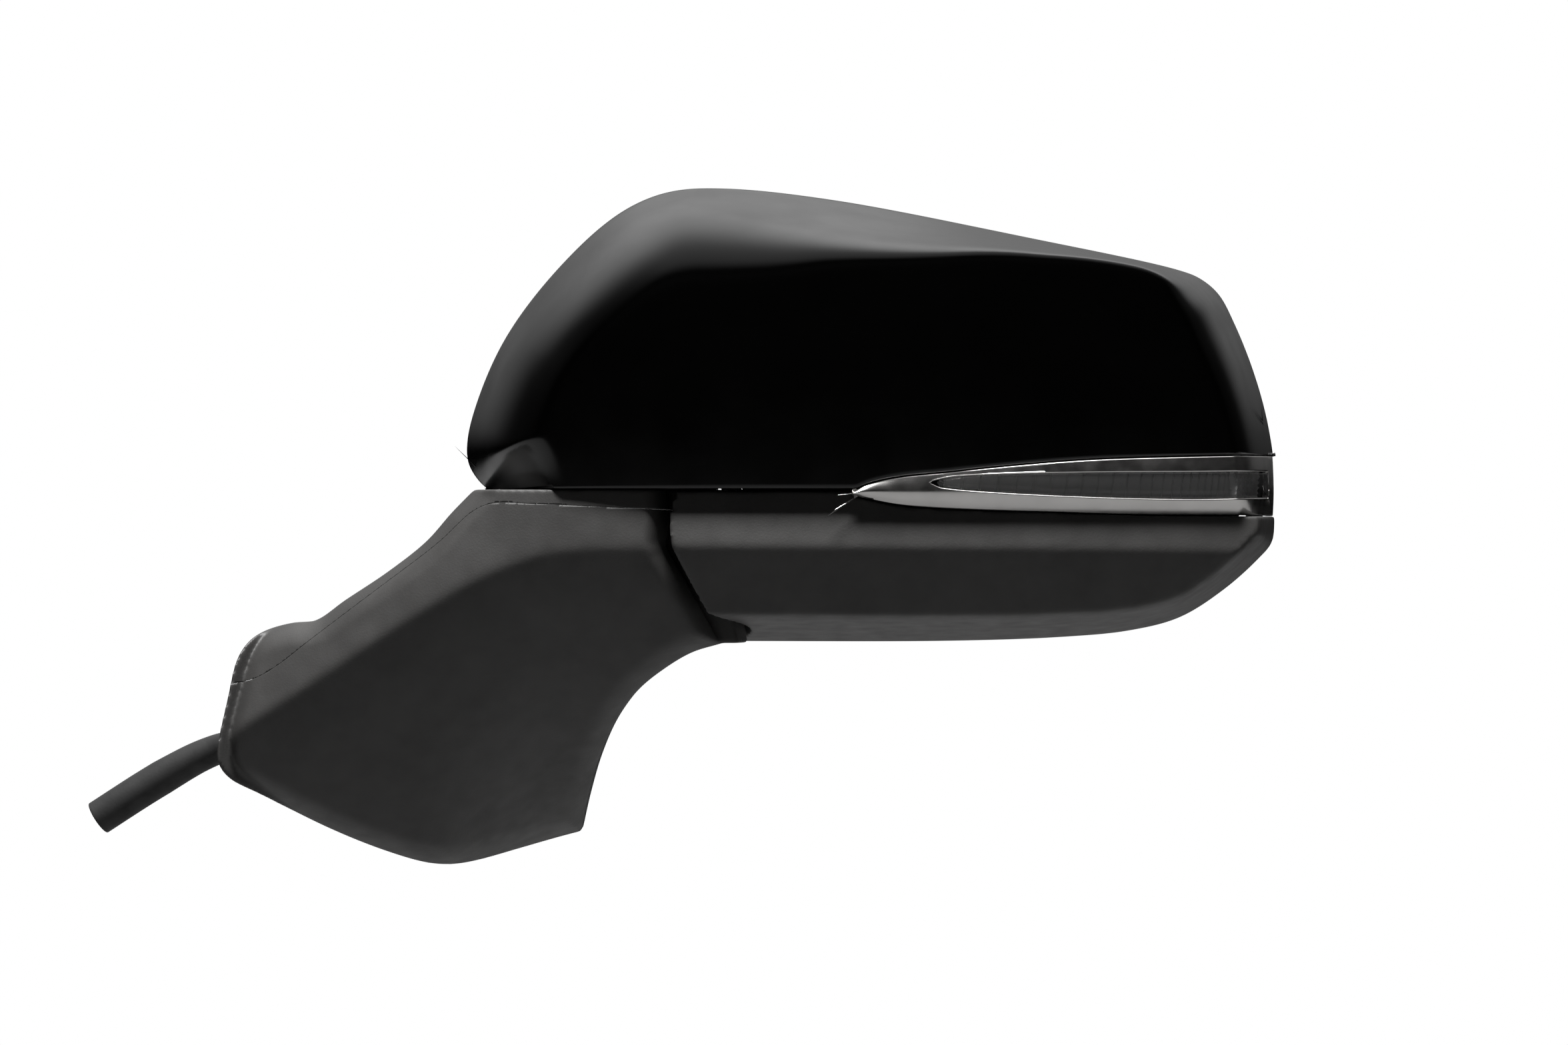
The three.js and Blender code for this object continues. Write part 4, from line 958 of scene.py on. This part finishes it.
def make_foot():
    centre = [-44, -62]
    rings = 50
    beyond = 14

    def back(x, z):
        return np.maximum(foot_rear(x, z), foot_front(x, z) + 2)

    def inner_back(x, z):
        return np.where(foot_rear(x, z) > door_y(x) - 1, door_y(x) + beyond, foot_rear(x, z) - WALL)

    keep = turret("keep", 0)
    combine(keep, slab("below", (-140, 80), (-80, 140), (-140, SKIRT_Z - 0.4)), "UNION")
    inboard = [[-140, -80], [-8, -80], [-8, 0], [-30, 140], [-140, 140]]
    combine(keep, slab_up("inboard", inboard, (-140, 1)), "UNION")
    shell = relief("foot_shell", foot_shape, centre, foot_front, back, rings, rings // 2)
    combine(shell, keep, "INTERSECT")
    combine(shell, turret_side("side", 0, FOOT_TOP_Z), "UNION")
    hollow = relief(
        "hollow", inset(foot_shape, WALL), centre, lambda x, z: foot_front(x, z) + WALL * 1.25, inner_back,
        rings // 2, rings // 2,
    )
    combine(hollow, turret_side("side_hollow", -WALL, FOOT_TOP_Z - WALL), "UNION")
    combine(shell, hollow, "DIFFERENCE")
    hole = lathe("unit_hole", [[0, -30], [UNIT_HOLE_R, -30], [UNIT_HOLE_R, 5], [0, 5]])
    combine(shell, hole, "DIFFERENCE")
    moulded(shell, 0.7, 3)
    seam = smooth(FOOT_SEAM, 90)
    above = np.vstack([seam + [0, SEAM_HALF], [[70, 20], [-116, 20]]])
    corners = [[-130, -130], [70, -130]]
    room = prism("below", np.vstack([corners, seam[::-1] - [0, SEAM_HALF]]), (-70, SEAM_SHUT_Y + 0.05))
    nearly = seam[::-1] + [0, SEAM_HALF - 0.01]
    shut = prism("below_rear", np.vstack([corners, nearly]), (SEAM_SHUT_Y, 130))
    combine(room, shut, "UNION")
    cover = copy_of(shell)
    cover.name = "foot_lower_shell"
    shell.name = "foot_upper_shell"
    combine(shell, prism("above", above, (-70, 130)), "INTERSECT")
    combine(cover, room, "INTERSECT")
    for piece, node in ((shell, "foot_top_cover"), (cover, "foot_cover")):
        settle(piece, "grained_black", "foot", node)


# ------------------------------------------------------------ cast and turned parts
def softened(node, name, finish, body, voxel, rounds):
    """A CAD node's shape with the rounded edges of a casting."""
    source = frame["nodes"][node]
    piece = bpy.data.objects.new(name, source.data.copy())
    piece.matrix_world = source.matrix_world
    bpy.context.scene.collection.objects.link(piece)
    moulded(piece, voxel, rounds)
    return settle(piece, finish, body, node)


FINISHES = {
    "inner_black": ["underside_plate", "head_frame", "fold_gear_case", "fold_case_lid", "lamp_housing",
                    "actuator_case", "glass_backing_plate"],
    "steel": ["fold_motor", "fold_shaft", "fold_detent_ring", "fold_clutch_gear", "fold_clutch_spring",
              "fold_spring_retainer", "tilt_motor_vertical", "tilt_motor_horizontal"],
    "brass": ["fold_worm", "tilt_worm_vertical", "tilt_worm_horizontal"],
    "natural": ["actuator_lid", "jack_gear_vertical", "jack_gear_horizontal", "jack_vertical",
                "jack_horizontal", "gimbal_ring"],
    "board": ["lamp_led_board"],
    "heater_film": ["glass_heater_pad"],
    "plug_grey": ["harness_plug"],
    "rubber": ["harness_grommet"],
}


def finish_cad_nodes():
    for finish, names in FINISHES.items():
        for name in names:
            for slot in frame["nodes"][name].material_slots:
                slot.material = MATERIALS[finish]


STUDS = {"stud_front": (44, -64), "stud_rear": (120, -96), "stud_lower": (70, -95)}
STUD_R = 3


def make_stud(node, along, z):
    """A stud with rolled thread ridges, a chamfered end and the wide root that is cast into the bracket."""
    pitch = 1.0
    profile = [[0, -7.7], [STUD_R + 0.9, -7.7], [STUD_R + 1, -7.5], [STUD_R + 1, 0], [STUD_R - 0.35, 0.4]]
    into = 1.0
    while into < 20.6:
        profile += [[STUD_R - 0.4, into], [STUD_R, into + 0.4 * pitch], [STUD_R, into + 0.55 * pitch]]
        into += pitch
    profile += [[STUD_R - 0.4, 21.2], [STUD_R - 0.9, 22], [0, 22]]
    sides = 40
    points = []
    for k in range(sides):
        angle = 2 * math.pi * k / sides
        for radius, depth in profile[1:-1]:
            points.append(door_point(along + radius * math.cos(angle), z + radius * math.sin(angle), depth))
    n = len(profile) - 2
    points += [door_point(along, z, profile[0][1]), door_point(along, z, profile[-1][1])]
    faces = []
    for k in range(sides):
        a, b = k * n, ((k + 1) % sides) * n
        faces += [[len(points) - 2, a, b], [len(points) - 1, b + n - 1, a + n - 1]]
        faces += [[a + j, a + j + 1, b + j + 1, b + j] for j in range(n - 1)]
    stud = outward(new_object(node + "_thread", points, faces))
    stud.data.shade_smooth()
    settle(stud, "steel", "foot", node)


# ------------------------------------------------------------ floor and light
FLOOR_Z = -330
FLOOR_R = 1500


def make_floor():
    """A round pale floor."""
    sides = 96
    points = [[0, 0, FLOOR_Z]]
    for radius in (FLOOR_R / 2, FLOOR_R):
        for k in range(sides):
            angle = 2 * math.pi * k / sides
            points.append([radius * math.cos(angle), radius * math.sin(angle), FLOOR_Z])
    faces = [[0, 1 + k, 1 + (k + 1) % sides] for k in range(sides)]
    for k in range(sides):
        a, b = 1 + k, 1 + (k + 1) % sides
        faces.append([a, a + sides, b + sides, b])
    floor = facing(new_object("floor", points, faces), (0, 0, 1))
    floor.data.materials.append(MATERIALS["paper"])
    return floor


def make_light(name, place, target, size, watts):
    lamp = bpy.data.lights.new(name, "AREA")
    lamp.shape = "RECTANGLE"
    lamp.size, lamp.size_y = size[0] * MM, size[1] * MM
    lamp.energy = watts
    made = bpy.data.objects.new(name, lamp)
    made.location = row(place)
    aim = Vector(row(target)) - made.location
    made.rotation_euler = aim.to_track_quat("-Z", "Y").to_euler()
    bpy.context.scene.collection.objects.link(made)
    return made


def light_only(lamp, *pieces):
    """Lets a light fall on the given pieces alone."""
    lit = bpy.data.collections.new(lamp.name + "_lit")
    for piece in pieces:
        lit.objects.link(piece)
    lamp.light_linking.receiver_collection = lit


def make_lights(cap, trim, guide, floor):
    """A key light that leaves out the cap and floor, and two lights linked to single pieces.

    This is not plain studio light: the cap's front is black partly because the key leaves it out.
    """
    key = make_light("key", [0, -420, 1500], [40, 0, -20], (700, 400), 88)
    spared = bpy.data.collections.new("spared_by_key")
    for piece in (cap, floor):
        spared.objects.link(piece)
    key.light_linking.receiver_collection = spared
    for member in spared.collection_objects:
        member.light_linking.link_state = "EXCLUDE"
    light_only(make_light("trim_glow", [130, -400, 1200], [150, 0, 0], (1200, 1000), 8), trim, guide)
    light_only(make_light("floor_glow", [0, 0, 1500], [0, 0, 0], (1500, 1500), 14), floor)
    make_sky()
    bpy.context.scene.view_settings.view_transform = "Standard"


def make_sky():
    """A world that is plain white to the camera, and to all other rays a sky with a dark front.

    The sky is bright above and behind the head only, so reflections don't show the white surround.
    """
    world = bpy.data.worlds.new("studio")
    world.use_nodes = True
    nodes, links = world.node_tree.nodes, world.node_tree.links
    place = nodes.new("ShaderNodeTexCoord")
    axes = nodes.new("ShaderNodeSeparateXYZ")
    links.new(place.outputs["Generated"], axes.inputs["Vector"])

    def ramp(source, low, high, start, end):
        made = nodes.new("ShaderNodeMapRange")
        made.interpolation_type = "SMOOTHSTEP"
        for name, value in (("From Min", low), ("From Max", high), ("To Min", start), ("To Max", end)):
            made.inputs[name].default_value = value
        links.new(source, made.inputs["Value"])
        return made.outputs["Result"]

    def math_node(operation, first, second=None):
        made = nodes.new("ShaderNodeMath")
        made.operation = operation
        links.new(first, made.inputs[0])
        if second is not None:
            links.new(second, made.inputs[1])
        return made.outputs["Value"]

    up, back = axes.outputs["Z"], axes.outputs["Y"]
    sideways = math_node("ABSOLUTE", axes.outputs["X"])
    sky = math_node("ADD", ramp(up, 0, 0.2, 0, 0.3), ramp(up, 0.25, 0.55, 0, 0.75))
    sky = math_node("MULTIPLY", sky, ramp(up, 0.6, 0.9, 1, 0.4))
    sky = math_node("MULTIPLY", sky, ramp(back, -0.5, 0.1, 0.03, 1))
    sky = math_node("MULTIPLY", sky, ramp(sideways, 0.3, 0.7, 1, 0.05))
    seen = nodes.new("ShaderNodeLightPath")
    shown = nodes.new("ShaderNodeMix")
    shown.data_type = "FLOAT"
    links.new(seen.outputs["Is Camera Ray"], shown.inputs["Factor"])
    links.new(sky, shown.inputs["A"])
    shown.inputs["B"].default_value = 1
    links.new(shown.outputs["Result"], nodes["Background"].inputs["Strength"])
    nodes["Background"].inputs["Color"].default_value = (1, 1, 1, 1)
    bpy.context.scene.world = world


# ------------------------------------------------------------ the whole
make_camera()
make_harness()
cap_piece = make_cap()
make_lower_housing()
trim_piece = make_trim()
make_lens()
guide_piece = make_light_guide()
make_bezel()
make_glass()
make_foot()
softened("base_bracket", "cast_bracket", "die_cast", "foot", 0.9, 4)
softened("door_gasket", "foam_seal", "foam", "foot", 0.6, 3)
for stud_node, (stud_along, stud_z) in STUDS.items():
    make_stud(stud_node, stud_along, stud_z)
finish_cad_nodes()
floor_piece = make_floor()
make_lights(cap_piece, trim_piece, guide_piece, floor_piece)
